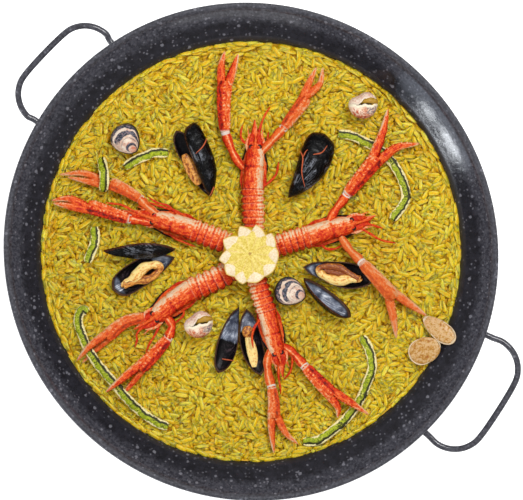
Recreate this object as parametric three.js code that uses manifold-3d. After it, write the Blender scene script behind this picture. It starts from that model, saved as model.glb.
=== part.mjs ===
// A seafood paella served in its own wide enamelled steel pan: a bed of yellow rice with five
// langoustines laid out as a star under a zigzag-cut lemon, opened mussels, small clams and
// strips of green pepper between them.
// Units are millimetres. +Z is up, the origin is the centre of the pan's flat base, and a heading
// is an angle in plan, anticlockwise from +X.
import * as THREE from "three";
import { mergeVertices } from "three/addons/utils/BufferGeometryUtils.js";
import Module from "manifold-3d";

const wasm = await Module();
wasm.setup();

// ---- Driving dimensions ----
const RIM_RADIUS = 230; // a 46 cm pan
const PAN_HEIGHT = 48;
const STEEL = 2; // enamelled sheet
const BASE_RADIUS = 180; // flat part of the base
const WALL_LEAN = 0.93; // the wall goes out by this much for each millimetre up
const PAN_SIDES = 54;
const LIP_RADIUS = 2.5; // rolled edge
const OUT_OF_ROUND = 0.0095; // the rim is pulled slightly oval towards the handles
const OVAL_HEADING = 138;
const WIRE_RADIUS = 2.5; // handle wire
const GAP = 0.3; // clearance between pieces that touch

const RICE_TOP = 17.3; // mean level of the rice above the ground
const RICE_RINGS = 19; // rings of grain bumps from the middle to the wall
const GRAIN_RELIEF = 0.9; // how far a grain stands out of the bed
const REST = RICE_TOP + GRAIN_RELIEF + GAP; // what lies on the rice starts here

const BODY_HALF_WIDTH = 9.6; // a langoustine's abdomen at its widest
const BODY_HALF_HEIGHT = 8.2;
const SHELL_WALL = 1.6; // mussel and clam valves
const STRIP_HALF_WIDTH = 4.2; // a pepper strip
const STRIP_HALF_HEIGHT = 1.7;
const LEMON_RADIUS = 26.5;
const LEMON_POINTS = 11;

const { cos, sin, PI, hypot, sqrt, abs, max } = Math;
const rad = THREE.MathUtils.degToRad;
const random = ((seed) => () => {
  seed = (seed * 1664525 + 1013904223) % 4294967296;
  return seed / 4294967296;
})(46);

const finish = (color, roughness, metalness = 0) =>
  new THREE.MeshStandardMaterial({ color, roughness, metalness });
const enamel = finish(0x29282d, 0.35);
const rice = finish(0xd6b82c, 0.7);
const shellfish = finish(0xdf4420, 0.45);
const musselShell = finish(0x15121a, 0.3);
const musselMeat = finish(0xe6b060, 0.55);
const stripedShell = finish(0xd9c0ae, 0.6);
const paleShell = finish(0xe0bfa0, 0.6);
const clamMeat = finish(0xcfa03a, 0.55);
const pepper = finish(0x9bac20, 0.5);
const citrus = finish(0xead85a, 0.55);

const paella = new THREE.Group();

// ---- Making closed solids ----

// A closed skin over rings of points, all with the same count; a fan to one point closes each end.
function skin(rings, startTip, endTip) {
  const count = rings[0].length;
  const points = rings.flat();
  const middle = (ring) =>
    ring.reduce((sum, p) => sum.add(p), new THREE.Vector3()).divideScalar(count);
  const first = points.push(startTip ?? middle(rings[0])) - 1;
  const last = points.push(endTip ?? middle(rings.at(-1))) - 1;
  const faces = [];
  for (let j = 0; j < count; j++) {
    const next = (j + 1) % count;
    for (let i = 0; i < rings.length - 1; i++) {
      const [a, b] = [i * count + j, i * count + next];
      faces.push(a, b, b + count, a, b + count, a + count);
    }
    const end = (rings.length - 1) * count;
    faces.push(first, next, j, last, end + j, end + next);
  }
  const geometry = new THREE.BufferGeometry().setFromPoints(points);
  geometry.setIndex(faces);
  geometry.computeVertexNormals();
  return geometry;
}

// An elliptical ring across a path: half the width lies level, half the height stands upright.
function ringAcross(centre, tangent, halfWidth, halfHeight, sides) {
  const across = new THREE.Vector3(-tangent.y, tangent.x, 0).normalize();
  const upright = new THREE.Vector3().crossVectors(tangent, across).normalize();
  return Array.from({ length: sides }, (_, k) => {
    const angle = (2 * PI * (k + 0.5)) / sides;
    return centre
      .clone()
      .addScaledVector(across, halfWidth * cos(angle))
      .addScaledVector(upright, halfHeight * sin(angle));
  });
}

// A body swept along a smooth path. Each station is [share of the path, half width, half height].
function sweep(path, stations, sides, pointed = false) {
  const curve = new THREE.CatmullRomCurve3(path, false, "centripetal");
  const rings = stations.map(([share, halfWidth, halfHeight]) =>
    ringAcross(
      curve.getPointAt(share),
      curve.getTangentAt(share),
      halfWidth,
      halfHeight,
      sides,
    ),
  );
  return skin(rings, undefined, pointed ? curve.getPointAt(1) : undefined);
}

// A round limb through points [x, y, height above the rice], thinning to its tip.
function limb(points, radii, sides = 6) {
  const path = points.map(([x, y, z]) => new THREE.Vector3(x, y, REST + z));
  const stations = radii.map((r, i) => [(0.97 * i) / (radii.length - 1), r, r]);
  return sweep(path, stations, sides, true);
}

function solid(geometry) {
  const bare = geometry.clone();
  bare.deleteAttribute("normal");
  bare.deleteAttribute("uv");
  const merged = mergeVertices(bare, 1e-4);
  return new wasm.Manifold(
    new wasm.Mesh({
      numProp: 3,
      vertProperties: merged.attributes.position.array,
      triVerts: new Uint32Array(merged.index.array),
    }),
  );
}

// Several closed pieces grown together into one.
function fuse(geometries) {
  const whole = geometries.map(solid).reduce((a, b) => a.add(b));
  const { vertProperties, triVerts } = whole.getMesh();
  const geometry = new THREE.BufferGeometry();
  geometry.setAttribute("position", new THREE.BufferAttribute(vertProperties, 3));
  geometry.setIndex(new THREE.BufferAttribute(triVerts, 1));
  geometry.computeVertexNormals();
  return geometry;
}

function addMesh(name, geometry, material, parent = paella) {
  const mesh = new THREE.Mesh(geometry, material);
  mesh.name = name;
  parent.add(mesh);
  return mesh;
}

// Lowers or lifts a placed group until its lowest point is that high above the rice.
function settle(group, lift = 0) {
  group.updateMatrixWorld(true);
  const box = new THREE.Box3().setFromObject(group, true);
  group.position.z += REST + lift - box.min.z;
}

// ---- The pan ----

// Stretches the rim along the handles and leaves the base round.
function ovalScale(x, y, z) {
  const heading = Math.atan2(y, x) - rad(OVAL_HEADING);
  const share = THREE.MathUtils.smoothstep(z, RICE_TOP, PAN_HEIGHT);
  return 1 + OUT_OF_ROUND * cos(2 * heading) * share;
}

const wallRun = STEEL * hypot(1, WALL_LEAN); // level thickness of the leaning wall
const wallTop = PAN_HEIGHT - LIP_RADIUS;
const innerWallAt = (z) => RIM_RADIUS - 2 * LIP_RADIUS - WALL_LEAN * (wallTop - z);
const outerWallAt = (z) => innerWallAt(z) + wallRun;

function panProfile() {
  const lip = new THREE.Vector2(RIM_RADIUS - LIP_RADIUS, wallTop);
  const bead = [];
  for (const angle of [-90, -30, 30, 100]) {
    bead.push(
      new THREE.Vector2(
        lip.x + LIP_RADIUS * cos(rad(angle)),
        lip.y + LIP_RADIUS * sin(rad(angle)),
      ),
    );
  }
  return [
    new THREE.Vector2(0, 0),
    new THREE.Vector2(BASE_RADIUS, 0),
    new THREE.Vector2(outerWallAt(1.6) - 3.5, 1.2),
    new THREE.Vector2(outerWallAt(7), 7),
    new THREE.Vector2(outerWallAt(lip.y - 5), lip.y - 5),
    ...bead,
    new THREE.Vector2(innerWallAt(lip.y - 1), lip.y - 1),
    new THREE.Vector2(innerWallAt(8), 8),
    new THREE.Vector2(innerWallAt(3.4) - 3, STEEL + 1),
    new THREE.Vector2(BASE_RADIUS - 3, STEEL),
    new THREE.Vector2(0, STEEL),
  ];
}

function makePan() {
  const geometry = new THREE.LatheGeometry(panProfile(), PAN_SIDES);
  geometry.rotateX(PI / 2); // the lathe turns about Y
  const p = geometry.attributes.position;
  for (let i = 0; i < p.count; i++) {
    const k = ovalScale(p.getX(i), p.getY(i), p.getZ(i));
    p.setXY(i, p.getX(i) * k, p.getY(i) * k);
  }
  addMesh("pan", geometry, enamel);
}

// A wire loop whose feet press against the wall under the lip. Its legs splay to the shoulders,
// turn through round corners and meet in a straight bar; heights follow the reach outwards.
function makeHandle(name, { heading, footHalf, shoulderHalf, reach, corner }) {
  const footZ = 37;
  const barZ = 42;
  const footReach = sqrt((outerWallAt(footZ) + WIRE_RADIUS + 1.8) ** 2 - footHalf ** 2);
  const half = [[footReach, footHalf], [RIM_RADIUS * 0.985 + 6, (footHalf + shoulderHalf) / 2]];
  for (const turn of [0, 30, 60, 90]) {
    half.push([
      reach - corner * (1 - sin(rad(turn))),
      shoulderHalf - corner * (1 - cos(rad(turn))),
    ]);
  }
  const outline = [...half, ...half.toReversed().map(([out, along]) => [out, -along])];
  const path = outline.map(([out, along]) => {
    const share = THREE.MathUtils.smoothstep(out, footReach, reach);
    return new THREE.Vector3(out, along, THREE.MathUtils.lerp(footZ, barZ, share));
  });
  const curve = new THREE.CatmullRomCurve3(path, false, "centripetal");
  const section = new THREE.Shape().absarc(0, 0, WIRE_RADIUS, 0, 2 * PI);
  const geometry = new THREE.ExtrudeGeometry(section, {
    steps: 20,
    curveSegments: 4,
    extrudePath: curve,
  });
  const mesh = addMesh(name, geometry, enamel);
  mesh.rotation.z = rad(heading);
}

const handles = [
  { heading: 135.7, footHalf: 49.5, shoulderHalf: 53.5, reach: 267.6, corner: 25 },
  { heading: -32.4, footHalf: 52.5, shoulderHalf: 57, reach: 273.2, corner: 26 },
];

// ---- The rice ----

// A bed that fills the pan up to its level, with a bump for each grain that lies on top.
function makeRice() {
  const clear = (z) => innerWallAt(z) * cos(PI / PAN_SIDES) - 1.6 * GAP; // inside the wall's flats
  const edgeRadius = clear(RICE_TOP - GRAIN_RELIEF);
  const top = [new THREE.Vector3(0, 0, RICE_TOP)];
  const faces = [];
  for (let ring = 1; ring <= RICE_RINGS; ring++) {
    const count = 6 * ring;
    const onEdge = ring === RICE_RINGS;
    for (let k = 0; k < count; k++) {
      const slide = onEdge ? 0 : (random() - 0.5) * 0.5;
      const angle = (2 * PI * (k + slide)) / count;
      const r = (edgeRadius * (ring + (onEdge ? 0 : (random() - 0.5) * 0.4))) / RICE_RINGS;
      const z = RICE_TOP + (onEdge ? -0.4 : 1) * GRAIN_RELIEF * (2 * random() - 1);
      top.push(new THREE.Vector3(r * cos(angle), r * sin(angle), z));
    }
  }
  const index = (ring, k) => (ring ? 1 + 3 * ring * (ring - 1) + (k % (6 * ring)) : 0);
  for (let ring = 1; ring <= RICE_RINGS; ring++) {
    for (let sector = 0; sector < 6; sector++) {
      for (let k = 0; k < ring; k++) {
        const [outer, inner] = [sector * ring + k, sector * (ring - 1) + k];
        faces.push(index(ring - 1, inner), index(ring, outer), index(ring, outer + 1));
        if (k < ring - 1) {
          faces.push(index(ring - 1, inner), index(ring, outer + 1), index(ring - 1, inner + 1));
        }
      }
    }
  }
  // The side follows the wall down to the corner, and the underside lies on the base.
  const edge = 6 * RICE_RINGS;
  const levels = [[clear(8), 8], [BASE_RADIUS - 5, STEEL + GAP]];
  let above = Array.from({ length: edge }, (_, k) => index(RICE_RINGS, k));
  for (const [radius, z] of levels) {
    const below = above.map((_, k) => {
      const angle = (2 * PI * k) / edge;
      return top.push(new THREE.Vector3(radius * cos(angle), radius * sin(angle), z)) - 1;
    });
    above.forEach((a, k) => {
      const next = (k + 1) % edge;
      faces.push(a, below[k], below[next], a, below[next], above[next]);
    });
    above = below;
  }
  const floor = top.push(new THREE.Vector3(0, 0, STEEL + GAP)) - 1;
  above.forEach((a, k) => faces.push(a, floor, above[(k + 1) % edge]));
  const geometry = new THREE.BufferGeometry().setFromPoints(top);
  geometry.setIndex(faces);
  geometry.computeVertexNormals();
  addMesh("rice", geometry, rice);
}

// ---- The langoustines ----

const SEGMENTS = 6; // rings of the abdomen

// Abdomen, carapace and snout as one body along the back. waist is the share of the spine where
// the abdomen meets the carapace, eyes the share where the eyes stand.
function langoustineBody({ spine, waist, eyes, scale = 1, lift = 0, tailLift = 0 }) {
  const width = BODY_HALF_WIDTH * scale;
  const height = BODY_HALF_HEIGHT * scale;
  const stations = [];
  for (let k = 0; k < SEGMENTS; k++) {
    const grown = 0.8 + (0.2 * (k + 0.5)) / SEGMENTS;
    const low = k === 0 ? 0.72 : grown - 0.03;
    stations.push([(waist * k) / SEGMENTS, width * low, height * (low - 0.06)]);
    stations.push([(waist * (k + 0.7)) / SEGMENTS, width * (grown + 0.04), height * grown]);
  }
  const head = eyes - waist;
  stations.push([waist, width * 0.95, height * 0.95]);
  stations.push([waist + 0.06 * head, width * 1.08, height * 1.04]);
  stations.push([waist + 0.5 * head, width * 1.14, height * 1.1]);
  stations.push([eyes - 0.15 * head, width * 0.94, height * 0.95]);
  stations.push([eyes, width * 0.62, height * 0.72]);
  stations.push([(1 + 2 * eyes) / 3, width * 0.3, height * 0.34]);
  stations.push([(3 + eyes) / 4, width * 0.15, height * 0.17]);
  const plan = new THREE.CatmullRomCurve3(
    spine.map(([x, y]) => new THREE.Vector3(x, y, 0)),
    false,
    "centripetal",
  );
  const back = (share) => {
    if (share > eyes) return lift + height * (1.15 - (0.35 * (share - eyes)) / (1 - eyes));
    const station = stations.findLast(([s]) => s <= share + 1e-6);
    const nearTail = max(0, 1 - share / (0.6 * waist));
    return lift + station[2] + tailLift * nearTail;
  };
  const rings = stations.map(([share, halfWidth, halfHeight]) => {
    const centre = plan.getPointAt(share);
    centre.z = REST + back(share);
    return ringAcross(centre, plan.getTangentAt(share), halfWidth, halfHeight, 8);
  });
  const tip = plan.getPointAt(1);
  tip.z = REST + back(1);
  const eyeAt = plan.getPointAt(eyes);
  const t = plan.getTangentAt(eyes);
  const eyeBalls = [-1, 1].map((side) =>
    new THREE.OctahedronGeometry(2.6).translate(
      eyeAt.x - side * t.y * width * 0.5,
      eyeAt.y + side * t.x * width * 0.5,
      REST + lift + height * 1.2,
    ),
  );
  return [skin(rings, undefined, tip), ...eyeBalls];
}

const between = (from, to, share) => from.map((v, i) => v + share * (to[i] - v));

// A claw: a jointed arm, a long palm that swells and narrows again, and two pointed fingers.
// Points are [x, y, height]; each finger is its bend, its tip and its share of the palm's width.
function claw({ arm, palm, halfWidth, fingers }) {
  const [start, middle, end] = palm;
  const palmPath = palm.map(([x, y, z]) => new THREE.Vector3(x, y, REST + z));
  const palmStations = [
    [0, 0.62, 0.6],
    [0.14, 0.8, 0.75],
    [0.86, 1.05, 0.9],
    [1, 0.85, 0.7],
  ].map(([share, w, h]) => [share, halfWidth * w, halfWidth * h]);
  const pieces = [sweep(palmPath, palmStations, 6)];
  if (arm) {
    pieces.push(limb([...arm, between(start, middle, 0.25)], [3.6, 4.2, 3.8, 3.8], 5));
  }
  for (const [bend, tip, thick = 0.5] of fingers) {
    const root = between(between(end, middle, 0.25), bend, 0.1);
    const radii = [0.95, 1, 0.4].map((k) => k * thick * halfWidth);
    pieces.push(limb([root, bend, tip], radii, 5));
  }
  return pieces;
}

const LEG_RADII = [1.5, 1.3, 0.8];
const leg = (...points) => limb(points, LEG_RADII, 4);

const langoustines = [
  {
    // Head to the top of the plan, claws reaching straight up and out to the right.
    body: {
      spine: [[2.4, 19], [2, 43], [1.5, 59], [3, 81], [4, 97], [3.5, 110], [3.5, 124]],
      waist: 0.38,
      eyes: 0.74,
    },
    claws: [
      {
        arm: [[-2, 88, 7], [-14, 88, 6], [-19.5, 99, 6]],
        palm: [[-24.5, 112, 6], [-25.5, 138, 6.5], [-24.5, 160, 6.5]],
        halfWidth: 6.8,
        fingers: [[[-29, 175, 6], [-24.5, 188, 5]], [[-15.5, 172, 6], [-12, 185.5, 5]]],
      },
      {
        arm: [[8, 92, 7], [20, 104.5, 6], [26, 111, 6]],
        palm: [[30.5, 116, 5.5], [42, 131, 6], [52, 144.5, 6]],
        halfWidth: 6.2,
        fingers: [[[53.5, 158, 6], [61.5, 173, 5]], [[66, 157, 6], [67.5, 172.5, 5]]],
      },
    ],
    feelers: [
      leg([6, 102, 9], [9, 117.5, 7], [13, 128, 5], [18, 136, 3]),
      leg([8, 88, 5], [13, 93, 4], [15, 103, 3], [16.5, 112.5, 2]),
      leg([9, 60, 4], [14, 63, 3], [23.5, 72.5, 2], [26, 84.5, 1.5]),
      leg([0, 97, 7], [-9, 106, 5], [-9.5, 112, 3], [-8, 119, 2]),
    ],
  },
  {
    // Head to the right, the widest pair of claws.
    body: {
      spine: [[19.6, 3.6], [38.5, 10], [53, 14], [74, 20.5], [92, 25], [104, 28.5], [117, 34]],
      waist: 0.36,
      eyes: 0.76,
      scale: 1.02,
    },
    claws: [
      {
        arm: [[72, 27, 8], [79, 39, 8], [86, 48, 8]],
        palm: [[89.5, 53.5, 8.5], [104, 71, 10.5], [118.5, 88, 12]],
        halfWidth: 7.4,
        fingers: [[[123, 112, 11], [128.5, 134, 6]], [[135, 98, 9], [158, 101.5, 4]]],
      },
      {
        arm: [[84, 14, 8], [93, 1, 9], [99, -5, 11]],
        palm: [[103.5, -10, 13], [119, -26.5, 12.5], [134, -43, 8]],
        halfWidth: 7,
        fingers: [[[133, -63, 6], [136.5, -81, 4]], [[148.5, -48, 7], [164.5, -60, 7]]],
      },
    ],
    feelers: [
      leg([97, 26, 7], [113, 16, 7], [122, 11, 5], [136, 8, 3]),
      leg([99, 27, 7], [114, 25, 7], [120, 23, 5], [124, 22, 4]),
      leg([66, 10, 5], [68.5, 4, 3.5], [78, 2.5, 3], [90, 9, 3]),
    ],
  },
  {
    // Head to the bottom, lying over the edge of an opened mussel.
    body: {
      spine: [[3.6, -18.6], [10, -42], [15, -57], [19.5, -75], [24, -91], [28, -105], [30, -118]],
      waist: 0.38,
      eyes: 0.76,
      scale: 0.96,
      lift: 4,
      tailLift: -4,
    },
    claws: [
      {
        arm: [[18, -92, 9], [15.5, -103, 8], [16.5, -116, 7]],
        palm: [[19.5, -127, 6.5], [21.5, -142, 6], [21.5, -156, 6]],
        halfWidth: 5.9,
        fingers: [[[19, -172, 5.5], [21.5, -189, 4]], [[33, -171, 5.5], [44, -180.5, 4]]],
      },
      {
        arm: [[29, -88, 9], [37.5, -93, 7], [45, -101, 6.5]],
        palm: [[50.5, -107.5, 6.5], [64, -122, 7], [77, -134.5, 8.2]],
        halfWidth: 6.6,
        fingers: [[[95, -141.5, 9], [110.5, -152.5, 6]], [[82, -146, 6.5], [81.5, -156, 4]]],
      },
    ],
    feelers: [
      leg([9, -63, 11], [3.5, -70, 16], [1, -79, 16], [2, -90, 13]),
      leg([30, -95, 10], [38, -98, 6], [37, -112, 4], [31, -120, 3]),
      leg([26, -97, 9], [26, -118, 7], [27.5, -127, 5], [28, -134, 4]),
    ],
  },
  {
    // Head to the lower left, both claws closed round the long pepper strip.
    body: {
      spine: [[-13.6, -15.6], [-40, -29], [-57, -36.5], [-74, -48], [-88, -59.5], [-99, -66.5],
        [-110, -73]],
      waist: 0.42,
      eyes: 0.78,
      scale: 1.06,
    },
    claws: [
      {
        arm: null,
        palm: [[-98, -61, 6.5], [-118, -66, 6.5], [-136, -80.5, 7]],
        halfWidth: 6.4,
        fingers: [
          [[-153, -89, 12.4], [-163, -102, 9]],
          [[-147, -94, 2.4], [-158.5, -104.5, 1.6], 0.34],
        ],
      },
      {
        arm: [[-80, -60, 8], [-74, -69, 7], [-76, -77, 6.5]],
        palm: [[-77.5, -81, 6.5], [-91, -96.5, 7], [-104.5, -110, 7]],
        halfWidth: 6.6,
        fingers: [
          [[-121, -118.5, 11.6], [-136, -131.5, 9]],
          [[-112, -125, 2.6], [-124.5, -138.5, 1.6], 0.34],
        ],
      },
    ],
    feelers: [
      leg([-94, -64, 7], [-107, -77, 6], [-107, -83, 4], [-109, -90, 2]),
      leg([-81, -58, 6], [-90, -78, 4], [-95, -86, 3], [-99, -96, 2]),
      leg([-66, -50, 5], [-63, -58, 4], [-70, -66, 3], [-76, -70, 2]),
    ],
  },
  {
    // Head to the left, claws side by side.
    body: {
      spine: [[-18, 6.6], [-45, 16.8], [-62, 23], [-76, 27], [-91, 31], [-106, 35.5], [-122, 39]],
      waist: 0.36,
      eyes: 0.7,
    },
    claws: [
      {
        arm: [[-92, 27, 8], [-104, 29, 6], [-110, 30, 6]],
        palm: [[-114, 30.5, 6.5], [-134, 37, 7], [-153, 43, 7]],
        halfWidth: 6.8,
        fingers: [[[-170, 51, 6.5], [-187, 48, 5]], [[-168, 41.5, 6.5], [-185.5, 45.5, 5]]],
      },
      {
        arm: [[-88, 35, 9], [-97, 42, 7], [-101, 46, 5]],
        palm: [[-104, 49.5, 4.5], [-118, 58, 5.5], [-132, 64.5, 5.5]],
        halfWidth: 6,
        fingers: [[[-153, 74.5, 5], [-180, 72.5, 4]], [[-156, 66, 5], [-172, 70, 4]]],
      },
    ],
    feelers: [
      leg([-60, 32, 5], [-70, 38, 4], [-84, 42, 4], [-98, 47, 5]),
      leg([-70, 36, 6], [-78, 43, 5], [-88, 46, 5], [-96, 51, 6]),
      leg([-80, 20, 5], [-72, 13, 4], [-62, 8.5, 3], [-52, 4.5, 2]),
      leg([-106, 36, 7], [-122, 44, 8], [-130, 45, 7], [-136, 46, 8]),
    ],
  },
];

// ---- Mussels and clams ----

const outlines = {
  mussel: (t) => 1.56 * t ** 0.7 * sqrt(1 - t ** 3.2),
  clam: (t) => 1.42 * t ** 0.55 * sqrt(1 - t ** 2.2),
};

// One valve of a shell as an open cup with its mouth up. The umbo is at the origin and the far
// edge at +X; the rim goes anticlockwise through points that crowd at both ends.
function valve({ kind, length, width, depth }) {
  const count = 12;
  const rim = Array.from({ length: count }, (_, k) => {
    const angle = (2 * PI * k) / count;
    const t = (1 - cos(angle)) / 2;
    const half = (width / 2) * outlines[kind](max(t, 0.02));
    return new THREE.Vector2(length * t, angle <= PI ? -half : half);
  });
  const centre = new THREE.Vector2(length * 0.52, 0);
  const ring = (share, deep, inset) =>
    rim.map((p) => {
      const shrink = share * (1 - (2 * inset) / width);
      const q = centre.clone().lerp(p, shrink);
      return new THREE.Vector3(q.x, q.y, -deep * (1 - share ** 2.3) ** 0.62);
    });
  const inside = depth - SHELL_WALL;
  const rings = [
    ...[0.5, 0.84, 1].map((share) => ring(share, depth, 0)),
    ...[1, 0.84, 0.5].map((share) => ring(share, inside, SHELL_WALL)),
  ];
  return skin(
    rings,
    new THREE.Vector3(centre.x, 0, -depth),
    new THREE.Vector3(centre.x, 0, -inside),
  );
}

// A shut shell: two domes that meet at the rim, solid because nothing of the inside shows.
function shutShell({ kind, length, width, depth }) {
  const count = 14;
  const centre = new THREE.Vector2(length * 0.5, 0);
  const rings = [-0.5, -0.84, 1, 0.84, 0.5].map((signed, i) =>
    Array.from({ length: count }, (_, k) => {
      const angle = (2 * PI * k) / count;
      const t = (1 - cos(angle)) / 2;
      const half = (width / 2) * outlines[kind](max(t, 0.02));
      const q = centre
        .clone()
        .lerp(new THREE.Vector2(length * t, angle <= PI ? -half : half), abs(signed));
      const z = depth * (1 - abs(signed) ** 2.3) ** 0.62 * (i < 2 ? -1 : 1);
      return new THREE.Vector3(q.x, q.y, z);
    }),
  );
  return skin(
    rings,
    new THREE.Vector3(centre.x, 0, -depth),
    new THREE.Vector3(centre.x, 0, depth),
  );
}

// The meat lies along the cup, clear of its wall.
function meat({ length, width, depth }, { from, to, swell, side = 0 }) {
  const path = [from, (from + to) / 2, to].map(
    (t) => new THREE.Vector3(length * t, side * width, -0.12 * depth),
  );
  const half = width * swell;
  const stations = [[0, 0.5], [0.25, 0.9], [0.6, 1], [0.9, 0.7], [1, 0.35]].map(([s, k]) => [
    s,
    half * k,
    depth * 0.3 * k,
  ]);
  return sweep(path, stations, 8);
}

// heading turns the umbo-to-edge line in plan; roll turns the shell about that line, so 180 lays
// the dome up; pitch lifts the far edge.
const shells = [
  {
    name: "mussel_1_lower",
    valve: { kind: "mussel", length: 72, width: 33, depth: 8 },
    umbo: [-38, 52],
    heading: 111,
    roll: -4,
    meat: { from: 0.3, to: 0.8, swell: 0.26, side: 0.06 },
  },
  {
    name: "mussel_1_upper",
    valve: { kind: "mussel", length: 74, width: 31, depth: 9 },
    umbo: [-36.5, 51],
    heading: 100,
    roll: 198,
    lift: 9.2,
  },
  {
    name: "mussel_2",
    shut: { kind: "mussel", length: 74, width: 35, depth: 10 },
    umbo: [34.5, 49.5],
    heading: 58,
    roll: 6,
  },
  {
    name: "mussel_3_lower",
    valve: { kind: "mussel", length: 66, width: 29, depth: 8.5 },
    umbo: [-70.5, -7.5],
    heading: -155,
    roll: -6,
    meat: { from: 0.24, to: 0.8, swell: 0.29 },
  },
  {
    name: "mussel_3_upper",
    valve: { kind: "mussel", length: 68, width: 27, depth: 8 },
    umbo: [-70.5, 3.2],
    heading: 181,
    roll: 122,
  },
  {
    name: "mussel_4_left",
    valve: { kind: "mussel", length: 66, width: 24, depth: 8 },
    umbo: [-14.4, -50],
    heading: -105.5,
    roll: 24,
  },
  {
    name: "mussel_4_right",
    valve: { kind: "mussel", length: 64, width: 27, depth: 7 },
    umbo: [-4.8, -54],
    heading: -83.5,
    roll: -9,
    meat: { from: 0.24, to: 0.86, swell: 0.24, side: -0.06 },
  },
  {
    name: "mussel_5_upper",
    valve: { kind: "mussel", length: 67, width: 28, depth: 7.5 },
    umbo: [49, -11.5],
    heading: -14,
    roll: -8,
    meat: { from: 0.28, to: 0.84, swell: 0.32 },
  },
  {
    name: "mussel_5_lower",
    valve: { kind: "mussel", length: 61, width: 25, depth: 7.5 },
    umbo: [49.5, -23],
    heading: -41,
    roll: 38,
  },
  {
    name: "clam_1",
    shut: { kind: "clam", length: 30, width: 32, depth: 8.5 },
    umbo: [-107.5, 93],
    heading: 128,
    roll: -8,
  },
  {
    name: "clam_3",
    shut: { kind: "clam", length: 30, width: 31, depth: 8.5 },
    umbo: [51, -43],
    heading: 160,
    roll: 8,
  },
  {
    name: "clam_5_lower",
    valve: { kind: "clam", length: 32, width: 28, depth: 6.5 },
    umbo: [177, -86],
    heading: 205,
    roll: 0,
    pitch: -13,
    meat: { from: 0.25, to: 0.85, swell: 0.33 },
  },
  {
    name: "clam_5_upper",
    valve: { kind: "clam", length: 38, width: 21, depth: 6 },
    umbo: [162, -61.5],
    heading: -39,
    roll: 0,
    pitch: 17,
    meat: { from: 0.2, to: 0.85, swell: 0.3 },
  },
];

function makeShell({ name, valve: cup, shut, umbo, heading, roll, pitch = 0, lift, meat: flesh }) {
  const turned = new THREE.Group();
  turned.rotation.set(rad(roll), rad(-pitch), rad(heading), "ZYX");
  turned.position.set(umbo[0], umbo[1], 0);
  paella.add(turned);
  const material = name.startsWith("mussel") ? musselShell : paleShell;
  addMesh(
    name,
    cup ? valve(cup) : shutShell(shut),
    shut && name.startsWith("clam") ? stripedShell : material,
    turned,
  );
  if (flesh) {
    const meatMaterial = name.startsWith("mussel") ? musselMeat : clamMeat;
    addMesh(`${name}_meat`, meat(cup, flesh), meatMaterial, turned);
  }
  settle(turned, lift);
}

// A small open clam that stands on its hinge with both lips up and its meat between them.
const standingClams = [
  { name: "clam_2", at: [104, 136.5], heading: 6 },
  { name: "clam_4", at: [-49.5, -69], heading: 6 },
];

function makeStandingClam({ name, at, heading }) {
  const size = { kind: "clam", length: 24, width: 31, depth: 8.5 };
  const lean = 24;
  const whole = new THREE.Group();
  whole.rotation.z = rad(heading);
  whole.position.set(at[0], at[1], 0);
  paella.add(whole);
  for (const [label, side] of [["front", -1], ["back", 1]]) {
    const half = new THREE.Group();
    half.rotation.x = rad(side * -lean);
    half.position.y = side * 0.8;
    whole.add(half);
    const mesh = addMesh(`${name}_${label}`, valve(size), paleShell, half);
    mesh.rotation.set(0, rad(-90), rad(side * 90), "ZYX");
  }
  const flesh = new THREE.SphereGeometry(1, 10, 6);
  flesh.scale(7.5, 2.4, 4.5).translate(0, 0, 15);
  addMesh(`${name}_meat`, flesh, clamMeat, whole);
  settle(whole);
}

// ---- Pepper strips ----

// Each strip lies on the rice and arches over what is under it; a third number is that height.
const strips = [
  [[-118.5, 79.5], [-108.5, 86], [-97.5, 90.5], [-92, 93], [-78, 92.5]],
  [[-140.5, 88], [-139, 81, 6], [-137.5, 73.5, 10.5], [-137, 65, 10.5], [-139, 57, 5]],
  [[-147, 23.5], [-146.5, 11], [-154, -10]],
  [[-153.5, -57], [-158, -54.5], [-162.5, -63.5], [-159.5, -76], [-155, -87, 3.5],
    [-150, -96, 5.2], [-145, -104, 4], [-138, -112.5, 2], [-128, -124, 4], [-120.5, -133, 5.2],
    [-112, -142, 3], [-103.5, -150.5], [-87.5, -161], [-78, -164.5]],
  [[104.5, -79.5], [111.5, -93.5], [114, -108.5], [109, -123.5], [101.5, -141], [91.5, -154.5],
    [77.5, -167.5], [62.5, -177.5], [49, -178.5]],
  [[82, 111], [92.5, 109.5], [111.5, 101], [125, 92.5], [136, 79], [144, 62.5], [145, 48.5],
    [132.5, 30]],
];

function makeStrip(points, number) {
  const path = points.map(
    ([x, y, z = 0]) => new THREE.Vector3(x, y, REST + STRIP_HALF_HEIGHT + z),
  );
  const steps = max(4, Math.round(path.length * 1.3));
  const stations = Array.from({ length: steps + 1 }, (_, i) => {
    const full = i === 0 || i === steps ? 0.75 : 1;
    return [i / steps, STRIP_HALF_WIDTH * full, STRIP_HALF_HEIGHT];
  });
  addMesh(`pepper_strip_${number}`, sweep(path, stations, 6), pepper);
}

// ---- The lemon ----

// A thick half with zigzag-cut points round its face, resting on the tails. The cut face is flat
// and the rind below it rounds in to a small flat foot.
function makeLemon() {
  const steps = LEMON_POINTS * 4;
  const levels = [[0.42, 10.6], [0.8, 14.5], [1, 20.5], [1, 24]];
  const rings = levels.map(([share, z], i) =>
    Array.from({ length: steps }, (_, k) => {
      const angle = (2 * PI * k) / steps;
      const notch = 0.5 - 0.5 * cos((2 * PI * k) / 4); // 0 in a notch, 1 on a point
      const deep = (0.11 + 0.05 * cos(angle - rad(135))) * THREE.MathUtils.smoothstep(i, 0, 2);
      const r = LEMON_RADIUS * share * (1.02 - deep * (1 - notch));
      return new THREE.Vector3(r * cos(angle) - 0.5, r * sin(angle) - 1, REST + z);
    }),
  );
  addMesh("lemon", skin(rings), citrus);
}

// ---- Putting it together ----

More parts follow.
